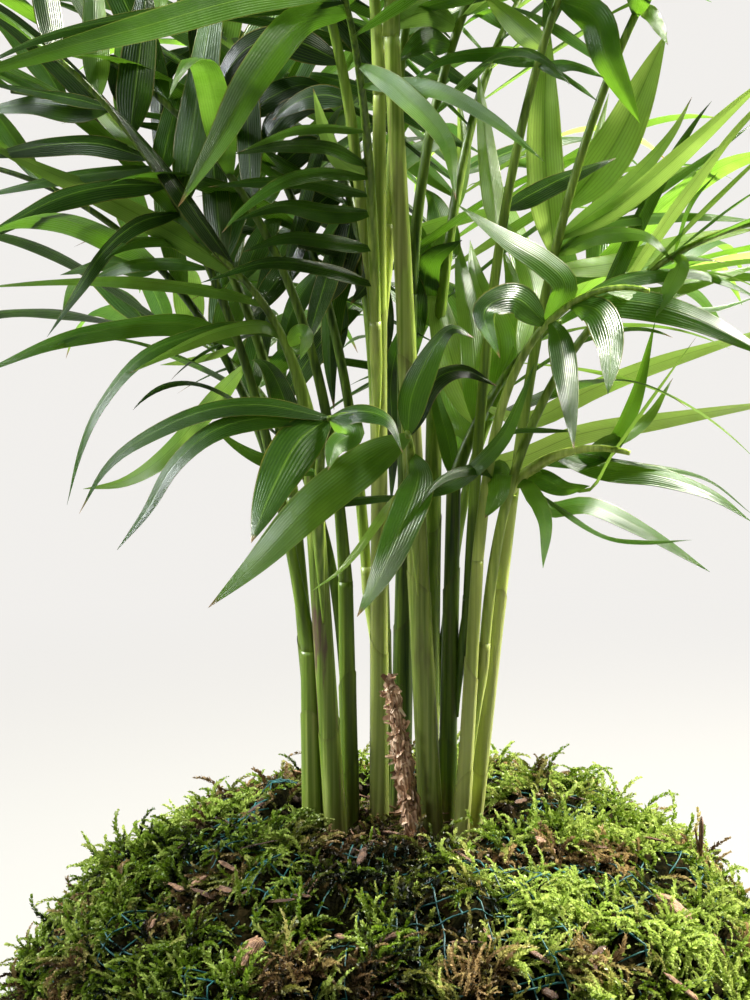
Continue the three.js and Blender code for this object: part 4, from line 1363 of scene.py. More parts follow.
@dataclass
class Frond:
    """A frond: the stem and the height on it (none is its top), how its stalk runs, and its leaflets.

    The front fronds have their leaflets laid out: the place on the stalk, the tip's x, y and z, the width,
    the arch and the roll. The others have pairs by a rule.
    """

    stem: int
    heading: float
    rise: float
    fall: float
    stalk: float
    leafy: float
    bend: float = 1.7
    at: float | None = None
    beside: float | None = None
    leaves: tuple[tuple[float, ...], ...] = ()
    pairs: int = 0
    leaflet: float = 0.0
    radius: float = 1.6
    tip_radius: float = 0.85

    def line(self, stem: Stem, ball: Ball) -> Line:
        """Where the stalk runs: from beside its stem, or from the stem's top."""
        stem_line = stem.line(ball)
        top = self.at is None
        point, way, _ = stem_line.at(stem_line.length if top else self.at + stem.sunk)
        beside = self.heading if self.beside is None else self.beside
        above = GAP + stem.radius * math.cos(math.radians(self.rise))
        clear = above if top else stem.radius + self.radius + GAP
        start = point + (way if top else heading_of(beside)) * clear
        return Line(start, self.heading, self.rise, self.fall, self.stalk + self.leafy, self.bend)

    def laid(self, line: Line) -> Iterator[Leaflet]:
        """The leaflets that are laid out one by one."""
        for along, x, y, z, wide, arch, roll in self.leaves:
            yield Leaflet(line.at(along)[0], np.array([x, y, z], float), arch, wide, roll)

    def paired(self, line: Line, number: int) -> Iterator[Leaflet]:
        """The pairs by rule: shorter and closer to the rib towards the end, with the solids' draws."""
        draw = Draw(5 + 31 * number)
        for pair in range(self.pairs):
            for hand in (-1, 1):
                share = pair / (self.pairs - 1)
                last = share == 1
                shift = 0.0 if last else hand * 0.17 + draw.between((-0.05, 0.05))
                along = self.stalk + self.leafy * max(0.0, (pair + shift) / (self.pairs - 1)) * 0.985
                root, way, up = line.at(along)
                angle = math.radians(mix(72, 22, share**1.3) + draw.between((-7, 7)))
                lift = math.radians(draw.between((4, 24)))
                size = 0.7 + 0.3 * math.sin(math.pi * (0.2 + 0.62 * share))
                length = self.leaflet * size * draw.between((0.9, 1.06))
                out = way * math.cos(angle) + line.side * hand * math.sin(angle)
                out = out * math.cos(lift) + up * math.sin(lift)
                tip = root + out * length - UP * length * draw.between((0.08, 0.34))
                arch = length * draw.between((0.07, 0.16))
                wide = length * draw.between((0.1, 0.135)) * (1.2 if last else 1.0)
                yield Leaflet(root, tip, arch, wide, draw.between((-38, 38)), draw.between((-24, 24)))


# The pale tones of stems 8 and 9 are partly painted light, where light shines through them.
STEMS = (
    Stem(-21, -6, 180, 1, 50, 3.1, 0.30),
    Stem(-15, -9, 180, 3.5, 108, 2.9, 0.38, 0.9),
    Stem(-11.5, -1, 180, 1, 66, 2.6, 0.28),
    Stem(-4, 2, 90, 1, 190, 2.5, 0.62),
    Stem(1.5, 9, 60, 2, 140, 2.9, 0.05, 0.0),
    Stem(9.5, -7, 172, 3, 205, 3.1, 0.52, 0.35),
    Stem(13.5, 1, 60, 2, 90, 2.5, 0.08, 0.3),
    Stem(17, -9, 350, 3, 74, 2.1, 0.78),
    Stem(20, -3, 5, 6, 90, 2.4, 0.92, 0.0),
    Stem(9, 19, 80, 5, 118, 2.8, 0.35),
    Stem(-2, 16, 110, 4, 98, 2.6, 0.62),
    Stem(-19, 5, 165, 5, 88, 2.4, 0.30),
)

FRONDS = (
    Frond(1, 186, 80, 40, 72, 92, 2.2, leaves=(
        (84, -107, -15, 231, 9, 8, 0), (112, -88, -40, 246, 9, 12, 10), (140, -108, -5, 284, 7, 5, -20),
        (128, -104, -25, 266, 8, 6, 0), (150, -105, 5, 302, 6, 3, 20), (138, -62, 18, 332, 12, 2, 20),
        (150, -76, 10, 338, 9, 2, 10), (116, -36, 8, 335, 14, 3, 15), (162, -110, -20, 328, 9, 4, 0),
        (164, -92, 12, 346, 9, 3, 0), (98, -34, 26, 292, 10, 4, 0), (126, -52, 34, 312, 10, 4, 0),
    )),
    Frond(2, 190, 78, 35, 14, 36, 1.5, leaves=(
        (15, -83, -30, 201, 8, 20, 15), (32, -107, -5, 256, 6, 3, -30), (42, -108, 0, 294, 8, 2, -40),
        (49, -110, 10, 318, 8, 1, -30), (20, -74, 12, 203, 11, 2, 0), (25, -58, 14, 232, 5, 3, 0),
        (40, -30, 44, 272, 9, 5, 0), (47, -52, 46, 292, 9, 5, 0),
    )),
    Frond(2, 280, 85, 12, 22, 15, 1.6, at=84, leaves=(
        (27, -76, -40, 205, 6, 12, -20), (30, -66, -50, 197, 8, 11, -10), (33, -33, -60, 201, 14, 5, 0),
        (36, 2, -42, 219, 7, 5, 0),
    )),
    Frond(6, 262, 86, 20, 6, 15, 1.6, at=90, leaves=(
        (10, -46, -32, 180, 12, 4, 10), (16, -9, -68, 186, 11, 8, 0), (7, -20, -56, 190, 5, 3, 0),
        (20, 34, -25, 240, 10, -4, 45), (17, 21, -22, 262, 9, 2, 50),
    )),
    Frond(9, 335, 50, -12, 4, 31, 1.0, leaves=(
        (5, 6, -40, 204, 9, 3, 0), (10, 35, -45, 193, 8, 8, 0), (22, 72, -28, 196, 5, -2, 60),
        (26, 90, 5, 197, 7, 8, 0), (16, 79, 12, 183, 7, 6, 0), (30, 66, -12, 241, 9, -6, -20),
        (34, 78, -20, 243, 5, -7, 60),
    )),
    Frond(8, 338, 84, -15, 56, 36, 2.6, leaves=(
        (59, 1, -47, 227, 9, 9, 0), (62, 19, -60, 251, 12, 5, 0), (66, 27, -54, 243, 8, 6, 0),
        (72, 42, -48, 221, 10, 8, 0), (80, 51, -40, 233, 11, 9, 0), (90, 98, -12, 235, 10, 9, 0),
        (84, 94, 10, 254, 7, 8, 0), (75, 14, -36, 279, 11, 6, 30), (70, 22, 12, 308, 8, 0, 0),
        (78, 44, 26, 300, 8, 2, 0),
    )),
    Frond(7, 25, 70, 30, 14, 38, 1.3, leaves=(
        (20, 104, 34, 224, 9, 2, -30), (34, 101, 36, 242, 9, 2, -30), (28, 52, 42, 254, 9, 0, 0),
        (44, 42, 36, 266, 9, -2, 0), (50, 84, 62, 262, 9, 3, 0), (38, 22, 60, 258, 9, 3, 0),
    )),
    Frond(4, 258, 86, 35, 14, 84, 1.6, at=126, leaves=(
        (16, -48, -22, 257, 8, 5, 10), (26, -38, -26, 267, 7, 4, 0), (36, -41, -24, 273, 7, 3, 0),
        (48, -43, -34, 271, 8, 8, 0), (60, -40, -30, 290, 9, 3, -10), (70, -42, -40, 292, 8, 5, 0),
        (97, -48, -92, 281, 13, 12, 10), (92, 13, -82, 290, 10, 8, 0), (98, -90, -100, 306, 14, 12, 0),
        (82, 34, -58, 334, 10, 6, 0), (88, -40, -50, 348, 10, 5, 0),
    )),
    Frond(8, 4, 86, 10, 66, 78, at=46, beside=40, leaves=(
        (68, 38, 18, 312, 10, 0, 0), (76, 24, 22, 306, 8, 1, 0), (84, 64, 16, 320, 10, 0, 0),
        (90, 82, 24, 304, 8, 3, 0), (98, 101, 16, 309, 9, 4, 0), (106, 105, 4, 299, 6, 3, 0),
        (116, 107, -10, 286, 7, 5, 0), (126, 108, -24, 276, 6, 4, 0), (134, 110, 14, 268, 7, 4, 0),
        (142, 112, 0, 277, 6, 3, 0), (94, 72, -44, 246, 7, 6, 20), (110, 88, 34, 243, 9, 4, 0),
    )),
    Frond(3, 178, 86, 22, 60, 104, pairs=7, leaflet=98),
    Frond(12, 160, 80, 5, 44, 96, pairs=6, leaflet=92),
    Frond(12, 172, 84, 12, 72, 96, at=40, beside=90, pairs=7, leaflet=94),
    Frond(11, 112, 82, 0, 40, 96, pairs=6, leaflet=92),
    Frond(11, 142, 85, 20, 88, 102, at=60, pairs=7, leaflet=96),
    Frond(3, 138, 86, -6, 62, 74, at=30, beside=95, pairs=5, leaflet=88),
    Frond(10, 82, 84, -5, 46, 96, at=70, pairs=6, leaflet=92),
    Frond(10, 58, 80, 10, 50, 104, pairs=6, leaflet=96),
    Frond(5, 28, 84, 22, 40, 108, pairs=7, leaflet=98),
    Frond(10, 36, 84, -8, 52, 80, at=50, beside=20, pairs=5, leaflet=88),
    Frond(7, 340, 87, 38, 150, 110, 2.2, at=56, pairs=6, leaflet=98),
    Frond(9, 2, 84, 32, 150, 110, 2.2, at=50, beside=80, pairs=6, leaflet=98),
    Frond(5, 100, 87, 30, 104, 110, at=96, pairs=6, leaflet=98),
    Frond(4, 150, 87, 36, 36, 112, pairs=7, leaflet=98),
    Frond(6, 290, 84, 26, 36, 104, pairs=6, leaflet=96),
    Frond(4, 196, 84, 20, 50, 106, at=158, pairs=7, leaflet=98),
    Frond(4, 60, 85, 24, 56, 104, at=150, pairs=6, leaflet=96),
)

SEEN = (
    # the long rib to the left
    Seen(1, ((238, 343), (190, 324), (120, 327), (50, 343), (-25, 376)), -15, 7, 50, 0.45),
    Seen(1, ((248, 368), (212, 402), (165, 455), (125, 481), (83, 489)), 20, 6.7, 55, 0.7),
    Seen(1, ((240, 350), (200, 357), (160, 365)), 35, 4.4, 30, 0.9),
    Seen(1, ((184, 216), (140, 222), (105, 250), (78, 290), (47, 337)), -40, 6.1, 40, 0.1),
    Seen(1, ((168, 187), (110, 186), (50, 202), (-28, 245)), -25, 8, 45, 0.15),
    Seen(1, ((160, 168), (110, 172), (50, 180), (-28, 198)), 0, 5, 45, 0.3),
    Seen(1, ((200, 270), (170, 262), (125, 266), (75, 288)), 10, 5, 45, 0.3),
    Seen(1, ((152, 155), (100, 144), (50, 145), (-20, 158)), -5, 7.4, 50, 0.1),
    Seen(1, ((112, 108), (80, 100), (30, 90), (-25, 80)), 5, 5.2, 30, 0.1),
    Seen(1, ((140, 148), (112, 120), (85, 88), (60, 58)), 30, 5.2, 60, 1.0),
    Seen(2, ((215, 256), (180, 212), (110, 140), (40, 90), (-30, 60)), 10, 5.9, 50, 0.45),
    Seen(2, ((243, 279), (190, 243), (110, 200), (40, 168), (-30, 135)), -5, 6.6, 65, 0.75),
    Seen(2, ((264, 306), (230, 294), (150, 282), (60, 281), (-25, 288)), -10, 5.2, 35, 0.6),
    Seen(2, ((284, 338), (262, 325), (215, 333), (165, 355), (128, 374)), -35, 4.6, 45, 0.7),
    Seen(2, ((283, 335), (240, 326), (195, 334), (140, 358), (100, 405), (80, 450), (67, 505)),
         -30, 5, 45, 0.35),
    Seen(2, ((284, 345), (300, 332), (307, 338), (300, 360)), -25, 4.4, 70, 0.6),
    # the low rib over the left stems
    Seen(3, ((329, 418), (262, 405), (200, 412), (140, 440), (104, 470), (79, 514)), -35, 6.2, 45, 0.25),
    Seen(3, ((329, 420), (265, 418), (215, 430), (173, 465), (147, 510), (117, 550)), -45, 6.4, 50, 0.25),
    Seen(3, ((322, 414), (298, 442), (272, 490), (251, 543)), -60, 11.7, 75, 0.3),
    Seen(3, ((319, 474), (275, 463), (240, 447), (208, 422)), -10, 4.4, 50, 0.5),
    Seen(3, ((330, 418), (350, 432), (335, 446), (328, 470)), -50, 7, 70, 0.55),
    Seen(3, ((332, 418), (362, 411), (390, 422), (403, 453)), -45, 6.5, 40, 0.2),
    # the short rib in the middle
    Seen(4, ((408, 436), (365, 462), (308, 507), (257, 561), (208, 608)), -32, 11.4, 65, 0.6),
    Seen(4, ((411, 496), (370, 498), (325, 505), (285, 530), (262, 548)), -25, 3.7, 40, 0.2),
    Seen(4, ((409, 455), (418, 478), (398, 535), (378, 580), (357, 617)), -68, 9.2, 80, 0.4),
    Seen(4, ((411, 480), (385, 512), (345, 565), (312, 591)), -56, 3, 50, 0.8),
    Seen(4, ((411, 500), (460, 478), (500, 440), (520, 400), (535, 362)), -25, 5.9, 45, 0.3),
    Seen(4, ((407, 434), (412, 395), (432, 350), (452, 328), (474, 338)), -20, 8, 60, 0.15),
    Seen(4, ((407, 436), (430, 385), (462, 370), (497, 386)), 0, 6, 60, 0.0),
    # the low rib to the right
    Seen(5, ((560, 468), (610, 470), (660, 475), (712, 494), (752, 522)), 5, 7, 50, 0.5),
    Seen(5, ((522, 480), (540, 478), (565, 488), (590, 486)), -18, 6, 60, 0.45),
    Seen(5, ((572, 462), (640, 464), (705, 478), (753, 515)), 15, 3.4, 20, 0.3),
    Seen(5, ((520, 482), (545, 508), (590, 505), (645, 530), (710, 572)), 12, 6.2, 50, 0.5),
    Seen(5, ((522, 480), (560, 508), (605, 536), (645, 542), (692, 540)), -28, 4.4, 20, 0.3),
    Seen(5, ((513, 484), (528, 486), (545, 520), (543, 568)), -50, 4.4, 70, 0.5),
    Seen(5, ((540, 478), (585, 490), (612, 452), (655, 392), (697, 336)), -20, 4.4, 12, 0.7),
    Seen(5, ((545, 470), (600, 452), (630, 410), (655, 322)), 0, 5.9, 50, 0.45),
    Seen(5, ((590, 455), (640, 425), (673, 378)), 15, 4.4, 50, 0.6),
    Seen(5, ((513, 484), (500, 472), (497, 495), (485, 518)), -30, 6.7, 70, 0.5),
    Seen(5, ((513, 484), (480, 468), (440, 480), (418, 508)), -40, 4.4, 40, 0.2),
    # the arching rib to the right
    Seen(6, ((488, 445), (515, 430), (580, 431)), -10, 3, 30, 0.3),
    Seen(6, ((545, 326), (566, 288), (545, 262), (505, 238), (458, 205)), -36, 7.9, 55, 0.35),
    Seen(6, ((548, 322), (515, 298), (484, 312), (500, 358)), -47, 8.2, 65, 0.2),
    Seen(6, ((548, 320), (560, 340), (568, 392), (574, 449)), -48, 6.6, 75, 0.3),
    Seen(6, ((575, 303), (599, 312), (610, 345), (608, 394)), -45, 9.4, 60, 0.35),
    Seen(6, ((568, 306), (630, 301), (695, 317), (772, 358)), -15, 9.4, 55, 0.45),
    Seen(6, ((570, 303), (620, 280), (680, 271), (722, 280), (765, 302)), 8, 5.9, 35, 0.4),
    Seen(6, ((605, 290), (660, 292), (715, 275), (775, 262)), 20, 5.9, 40, 0.7),
    Seen(6, ((605, 290), (650, 305), (710, 308), (760, 296)), 25, 4.4, 25, 0.5),
    # behind it, with the light through them
    Seen(7, ((485, 408), (530, 420), (590, 390), (665, 361), (740, 338), (790, 322)), 40, 5.9, 60, 1.0),
    Seen(7, ((460, 470), (520, 458), (580, 434), (660, 420), (750, 406), (790, 402)), 36, 6.2, 65, 1.0),
    Seen(7, ((478, 425), (455, 370), (440, 310), (428, 250)), 44, 8.9, 80, 0.9),
    Seen(7, ((492, 393), (500, 340), (478, 280), (470, 240)), 50, 8.9, 80, 0.9),
    Seen(7, ((520, 355), (535, 300), (520, 250), (500, 215)), 52, 7.4, 80, 0.9),
    Seen(7, ((455, 478), (448, 440), (438, 405), (433, 370)), 10, 5.2, 70, 0.3),
    Seen(7, ((478, 425), (474, 340), (464, 285), (456, 232)), 46, 8, 80, 0.8),
    Seen(7, ((494, 392), (518, 330), (512, 280), (502, 248)), 50, 8, 80, 0.7),
    Seen(7, ((470, 440), (450, 400), (452, 350), (440, 300)), 60, 8, 80, 0.55),
    # the near rib at the top
    Seen(8, ((350, 12), (300, 22), (252, 80), (222, 135), (178, 207)), -92, 8.6, 98, 0.3),
    Seen(8, ((343, -8), (250, -2), (140, 28), (50, 52), (-60, 85)), -100, 7.6, 65, 0.35),
    Seen(8, ((345, 0), (200, 8), (90, 25), (30, 42), (-30, 72)), -60, 6.7, 40, 0.2),
    Seen(8, ((371, 165), (330, 148), (285, 146), (234, 154)), -38, 5.2, 45, 0.15),
    Seen(8, ((369, 130), (320, 127), (285, 133), (240, 152)), -30, 4.4, 35, 0.6),
    Seen(8, ((372, 180), (320, 172), (278, 184), (240, 212), (222, 233)), -45, 5.5, 40, 0.4),
    Seen(8, ((371, 195), (310, 182), (255, 182), (208, 187)), -20, 5.2, 45, 0.3),
    Seen(8, ((372, 215), (330, 212), (280, 206), (232, 222)), -25, 5.9, 50, 0.3),
    Seen(8, ((373, 250), (320, 240), (285, 238), (243, 252)), -25, 5.2, 50, 0.3),
    Seen(8, ((374, 285), (330, 270), (270, 262), (200, 283)), -30, 5.5, 40, 0.15),
    Seen(8, ((357, 62), (400, 92), (445, 140), (456, 200)), -80, 5.6, 94, 0.6),
    Seen(8, ((361, 88), (430, 88), (490, 118), (545, 162)), -70, 4.4, 70, 0.5),
    Seen(8, ((371, 175), (340, 160), (325, 130), (313, 88)), -10, 4.4, 70, 0.8),
    # the ribs behind, to the right
    Seen(9, ((676, 253), (680, 265), (668, 292), (655, 318)), -20, 5.2, 60, 0.6),
    Seen(9, ((672, 255), (690, 205), (718, 172)), 0, 2.5, 30, 0.4),
    Seen(20, ((500, 245), (490, 170), (478, 72)), 30, 5.8, 80, 1.0),
    Seen(20, ((507, 215), (530, 195), (570, 175), (616, 158)), 10, 6.7, 50, 0.15),
    Seen(20, ((545, 60), (500, 54), (450, 57), (408, 82)), -10, 5.9, 40, 0.45),
    Seen(20, ((545, 62), (575, 65), (605, 78)), -20, 5.9, 30, 0.4),
    Seen(20, ((540, 72), (570, 80), (600, 103)), -25, 3.4, 30, 0.4),
    Seen(20, ((557, 5), (594, 18), (608, 60), (640, 123)), -30, 8.6, 98, 0.45),
    Seen(20, ((548, 45), (515, 22), (482, -8)), 15, 6.7, 75, 0.85),
    Seen(21, ((552, 262), (600, 236), (645, 236), (674, 262)), -5, 5.9, 45, 0.7),
    Seen(21, ((556, 250), (545, 150), (547, 10)), 30, 9.9, 80, 1.0),
    Seen(21, ((566, 210), (617, 140), (667, 32)), 30, 11.8, 80, 0.95),
    Seen(21, ((562, 225), (590, 160), (609, 93)), 40, 3.7, 70, 1.0),
    Seen(21, ((560, 235), (620, 190), (668, 138), (692, 97)), 35, 5.2, 60, 0.9),
    Seen(21, ((558, 240), (620, 205), (690, 145), (750, 92), (780, 70)), 10, 5.9, 60, 0.85),
    Seen(21, ((558, 245), (640, 200), (700, 162), (755, 122)), 25, 3.4, 50, 0.6),
    Seen(21, ((556, 250), (630, 195), (690, 170), (765, 160)), 30, 5.2, 50, 0.8),
    Seen(21, ((552, 262), (600, 225), (680, 215), (765, 222)), 15, 5.2, 35, 0.6),
    Seen(21, ((550, 270), (620, 262), (690, 240), (760, 228)), 40, 6.7, 60, 0.95),
    Seen(21, ((640, -2), (652, 15), (668, 45)), -10, 4.4, 60, 0.7),
    Seen(18, ((458, 25), (425, 12), (378, 32)), 5, 7.4, 70, 0.7),
    Seen(18, ((452, 45), (425, 40), (398, 62)), -5, 7.4, 60, 0.35),
    Seen(17, ((452, 220), (463, 160), (458, 90)), 60, 4, 80, 0.9),
    Seen(17, ((448, 262), (444, 235), (436, 205), (424, 188)), 58, 9, 80, 0.35),
    # the ribs behind, to the left
    Seen(14, ((262, 148), (205, 132), (160, 127), (110, 119)), 20, 5.2, 45, 0.15),
    Seen(14, ((192, 50), (162, 70), (160, 110), (157, 168)), 45, 6.7, 80, 0.0),
    Seen(10, ((100, 58), (115, 65), (120, 90), (129, 120)), 0, 5.2, 75, 0.05),
    Seen(25, ((340, 62), (290, 40), (245, 50), (205, 108)), 0, 8.9, 70, 0.0),
    # the leaflets that hang behind the stems, painted dark as painted shade
    Seen(13, ((352, 215), (345, 250), (335, 285), (318, 310)), 20, 9, 75, 0.0),
    Seen(13, ((350, 200), (375, 235), (372, 275), (350, 305)), 25, 9, 75, 0.0),
    Seen(13, ((348, 185), (318, 205), (300, 240), (292, 280)), 30, 8, 70, 0.05),
    Seen(13, ((340, 165), (362, 190), (392, 225), (398, 270)), 35, 8, 70, 0.1),
    Seen(13, ((352, 240), (375, 285), (385, 330), (378, 375)), 30, 8, 70, 0.05),
    Seen(14, ((300, 215), (280, 250), (262, 300), (258, 345)), 50, 7, 70, 0.1),
    Seen(14, ((312, 255), (330, 290), (338, 330), (330, 380)), 45, 8, 70, 0.05),
    Seen(14, ((285, 180), (255, 205), (232, 240), (222, 290)), 50, 7, 70, 0.35),
    Seen(14, ((316, 275), (295, 305), (283, 345), (285, 385)), 50, 6, 65, 0.3),
    Seen(22, ((397, 210), (420, 250), (430, 300), (422, 340)), 60, 7, 75, 0.45),
    Seen(22, ((396, 180), (375, 215), (360, 260), (358, 300)), 60, 8, 75, 0.1),
    Seen(22, ((398, 260), (415, 300), (412, 345), (400, 390)), 60, 7, 75, 0.2),
    Seen(16, ((447, 330), (425, 300), (430, 262), (462, 240)), 20, 9, 75, 0.2),
    Seen(16, ((440, 360), (455, 400), (458, 440), (450, 470)), 55, 6, 70, 0.3),
    Seen(22, ((395, 330), (391, 380), (393, 440), (391, 505)), 40, 5, 80, 0.05),
    Seen(13, ((345, 230), (334, 300), (330, 360), (334, 410)), 25, 7, 75, 0.1),
    Seen(14, ((262, 140), (285, 115), (310, 105), (335, 112)), 45, 8, 70, 0.05),
    Seen(14, ((250, 118), (270, 98), (300, 85), (330, 90)), 45, 8, 70, 0.1),
    Seen(14, ((278, 168), (300, 150), (320, 150), (345, 165)), 45, 8, 70, 0.05),
    Seen(25, ((348, 101), (325, 95), (300, 100), (272, 120)), 10, 7, 60, 0.1),
    Seen(1, ((110, 110), (70, 108), (30, 103), (-25, 112)), 15, 7, 60, 0.2),
    Seen(12, ((160, 262), (140, 268), (110, 262), (60, 275)), 20, 6, 50, 0.3),
)

# Leaflets that the photograph shows to be missing, by frond and by their place in the solid's order.
LOST = {
    6: (0, 8, 9), 9: (0, 1, 2), 10: (0, 2, 4), 11: (0, 4), 12: (0, 2, 4, 8, 9), 13: (3, 103),
    15: (4, 6, 104, 108), 16: (105, 107, 109), 17: (1, 101), 18: (3, 101), 19: (105,), 21: (1, 100),
}

# How the solids dodge their neighbours: degrees up, degrees round and the length.
DODGES = (
    (0, 0, 1), (8, 0, 1), (-8, 0, 1), (0, 8, 1), (0, -8, 1), (14, 8, 1), (-14, -8, 1), (14, -8, 1),
    (-14, 8, 1), (24, 0, 1), (-24, 0, 1), (0, 0, 0.7), (12, 10, 0.7), (-12, -10, 0.7), (28, 14, 0.7),
    (-28, -14, 0.7),
)


@dataclass
class Palms:
    """The stems with their sheaths, and the fronds."""

    ball: Ball
    stems: Sequence[Stem] = STEMS
    fronds: Sequence[Frond] = FRONDS
    blade_rows: int = 25
    blade_columns: int = 9
    found_within: float = 0.25  # of a solid leaflet's tip
    same_leaflet: float = 26.0  # a solid leaflet whose tip is this close to a seen one's is that leaflet
    clasp: float = 26.0  # length of a stalk's clasping foot
    slender: float = 0.78  # a leaflet's width over the solid's
    thin: tuple[int, ...] = (10, 11, 12)  # the fronds with nothing between the solid's pairs
    inside: tuple[float, float] = (-15.0, 20.0)  # the crown's inside, where leaflets are painted dark as painted shade, as x and y
    inside_reach: float = 60.0
    sunny_from: float = -70.0  # an x, from which leaflets are painted paler, as painted light
    sunny_over: float = 170.0
    # painted light on the right, and painted shade inside the crown
    sunny_painted_light: float = 0.22
    inside_painted_shade: float = 0.85
    dry_tips: float = 0.5  # the share of leaflets with a dry tip
    between_wide: float = 0.95  # the width of those between the solid's pairs, over a pair's
    sheath_tops: tuple[tuple[float, float], ...] = ((0.34, 0.62), (0.5, 0.85))  # the lowest and the highest
    seed: int = 61

    def build(self) -> None:
        """Makes every stem and frond."""
        for number, stem in enumerate(self.stems, 1):
            self.stem(stem, number)
        for number, frond in enumerate(self.fronds, 1):
            self.frond(frond, number)

    def stem(self, stem: Stem, number: int) -> None:
        """A stem with two close sheaths wrapped round it, each ending a little slantwise."""
        draw = np.random.default_rng(self.seed + number)
        line = stem.line(self.ball)
        shares = np.linspace(0, 1, 60)
        low = np.clip(1 - (shares * line.length - stem.sunk) / 16, 0, 1)[:, None]
        shape = Shape()
        shape.tube(rings_along(line.path(0, line.length, 60), stem.radius_at(shares), 18),
                   tone=stem.tone, low=low, stain=stem.stain)
        for layer, top in enumerate(draw.uniform(*self.sheath_tops)):
            turn = draw.uniform(0, 2 * np.pi) + np.linspace(0, 2 * np.pi, 26)[None, :]
            ends = top * line.length - 6 * np.sin(np.linspace(0, np.pi, 26)) ** 2
            foot = stem.sunk * 0.6
            alongs = foot + (ends - foot)[None, :] * np.linspace(0, 1, 40)[:, None]
            middle = line.points[0] + line.ways[0] * alongs[..., None]
            flare = 0.12 * np.clip((alongs - ends + 12) / 12, 0, 1) ** 2
            reach = stem.radius_at(alongs / line.length) + 0.16 - 0.07 * layer + flare
            points = middle + polar(1.0, turn) * reach[..., None]
            browned = np.clip(1 - (alongs - stem.sunk) / 14, 0, 1) * 0.8
            browned = np.maximum(browned, np.clip((alongs - ends + 1.2) / 1.2, 0, 1) * 0.3)
            tone = stem.tone + draw.uniform(-0.06, 0.10)
            shape.sheet(points, tone=tone, low=browned, stain=stem.stain)
        shape.piece(f"palm_stem_{number}", STEM_SKIN, Slot.STEM, f"stem_{number}")

    def frond(self, frond: Frond, number: int) -> None:
        """A frond: its stalk in one piece, and its leaflets in another."""
        stem = self.stems[frond.stem - 1]
        line = frond.line(stem, self.ball)
        draw = np.random.default_rng(self.seed * 100 + number)
        shares = np.linspace(0, 1, 48)
        foot = stem.radius * stem.taper if frond.at is None else frond.radius * 0.8
        radii = mix(frond.radius, frond.tip_radius * 0.8, shares)
        radii = mix(radii, foot, np.clip(1 - shares * line.length / 22, 0, 1) ** 1.5)
        stalk = Shape()
        rings = rings_along(line.path(-2.0, line.length, 48), radii, 10)
        # The stalk is painted paler towards its end on fronds that head right, as painted light.
        sunny = np.clip(0.5 + 0.8 * math.cos(math.radians(frond.heading)), 0, 1)
        outer_tone_with_painted_light = mix(0.0, 0.26, sunny) + draw.uniform(0.0, 0.14)
        tone = mix(stem.tone, outer_tone_with_painted_light, np.clip(shares * line.length / 60, 0, 1))[:, None]
        stalk.tube(rings, tone=tone, low=0.0, stain=0.0)
        if frond.at is not None:
            self.sleeve(stalk, frond, stem, line)
        node = f"frond_{number}"
        stalk.piece(f"frond_stalk_{number}", STEM_SKIN, Slot.LEAF, node)
        blades = Shape()
        grid = (self.blade_rows, self.blade_columns)
        tips = []
        for seen in (seen for seen in SEEN if seen.frond == number):
            points, along, across = seen.blade(line, draw, *grid)
            tips.append(points[-1, 0])
            dry = float(draw.uniform() < self.dry_tips)
            blades.sheet(points, along=along, across=across, tone=seen.tone, dry=dry)
        for index, leaflet in (*self.leaflets(frond, line, number), *self.between(frond, line, number)):
            again = any(np.linalg.norm(leaflet.tip - tip) < self.same_leaflet for tip in tips)
            if again or index in LOST.get(number, ()):
                continue
            points, along, across = replace(leaflet, wide=leaflet.wide * self.slender).blade(draw, *grid)
            tone = self.tone_of(leaflet, draw)
            dry = float(draw.uniform() < self.dry_tips)
            blades.sheet(points, along=along, across=across, tone=tone, dry=dry)
        blades.piece(f"frond_leaflets_{number}", LEAF, Slot.LEAF, node)

    def tone_of(self, leaflet: Leaflet, draw: np.random.Generator) -> float:
        """How pale a leaflet is painted: a random tone, with painted light that makes it paler on the sunny
        right and painted shade that makes it darker inside the crown.
        """
        x, y, _ = (leaflet.root + leaflet.tip) / 2
        sunny = np.clip((leaflet.tip[0] - self.sunny_from) / self.sunny_over, 0, 1)
        away = math.hypot(x - self.inside[0], y - self.inside[1])
        # Painted shade inside the crown, and painted light on the right.
        inner = np.clip(1.2 - away / self.inside_reach, 0, 1) * np.clip(1 - x / 30, 0, 1)
        pale = draw.uniform(0, mix(0.7, 0.8, sunny)) + self.sunny_painted_light * sunny
        return pale * (1 - self.inside_painted_shade * inner)

    def sleeve(self, stalk: Shape, frond: Frond, stem: Stem, line: Line) -> None:
        """The clasping foot of a stalk that leaves its stem part of the way up, narrowing downwards."""
        share = np.linspace(0, 1, 16)
        stem_line = stem.line(self.ball)
        alongs = frond.at + stem.sunk - self.clasp * (1 - share)
        inner = np.array([stem_line.at(along)[0] for along in alongs])
        beside = line.points[0] - inner[-1]
        path = inner + beside * mix(0.55, 1.0, share**2)[:, None]
        path = np.concatenate([path[:-1], line.path(0.0, 6.0, 4)])
        share = np.arange(len(path)) / (len(path) - 1)
        radii = np.interp(share, [0, 0.7, 1], [0.3, frond.radius, frond.radius * 0.95])
        stalk.tube(rings_along(path, radii, 10), tone=stem.tone, low=0.0, stain=0.0)

    def between(self, frond: Frond, line: Line, number: int) -> Iterator[tuple[int, Leaflet]]:
        """The leaflets that grow between the solid's pairs, numbered from a hundred on."""
        if frond.leaves or number in self.thin:
            return
        finer = replace(frond, stalk=frond.stalk + 0.5 * frond.leafy / (frond.pairs - 1))
        for index, leaflet in enumerate(finer.paired(line, number + 100), 100):
            yield index, replace(leaflet, wide=leaflet.wide * self.between_wide)

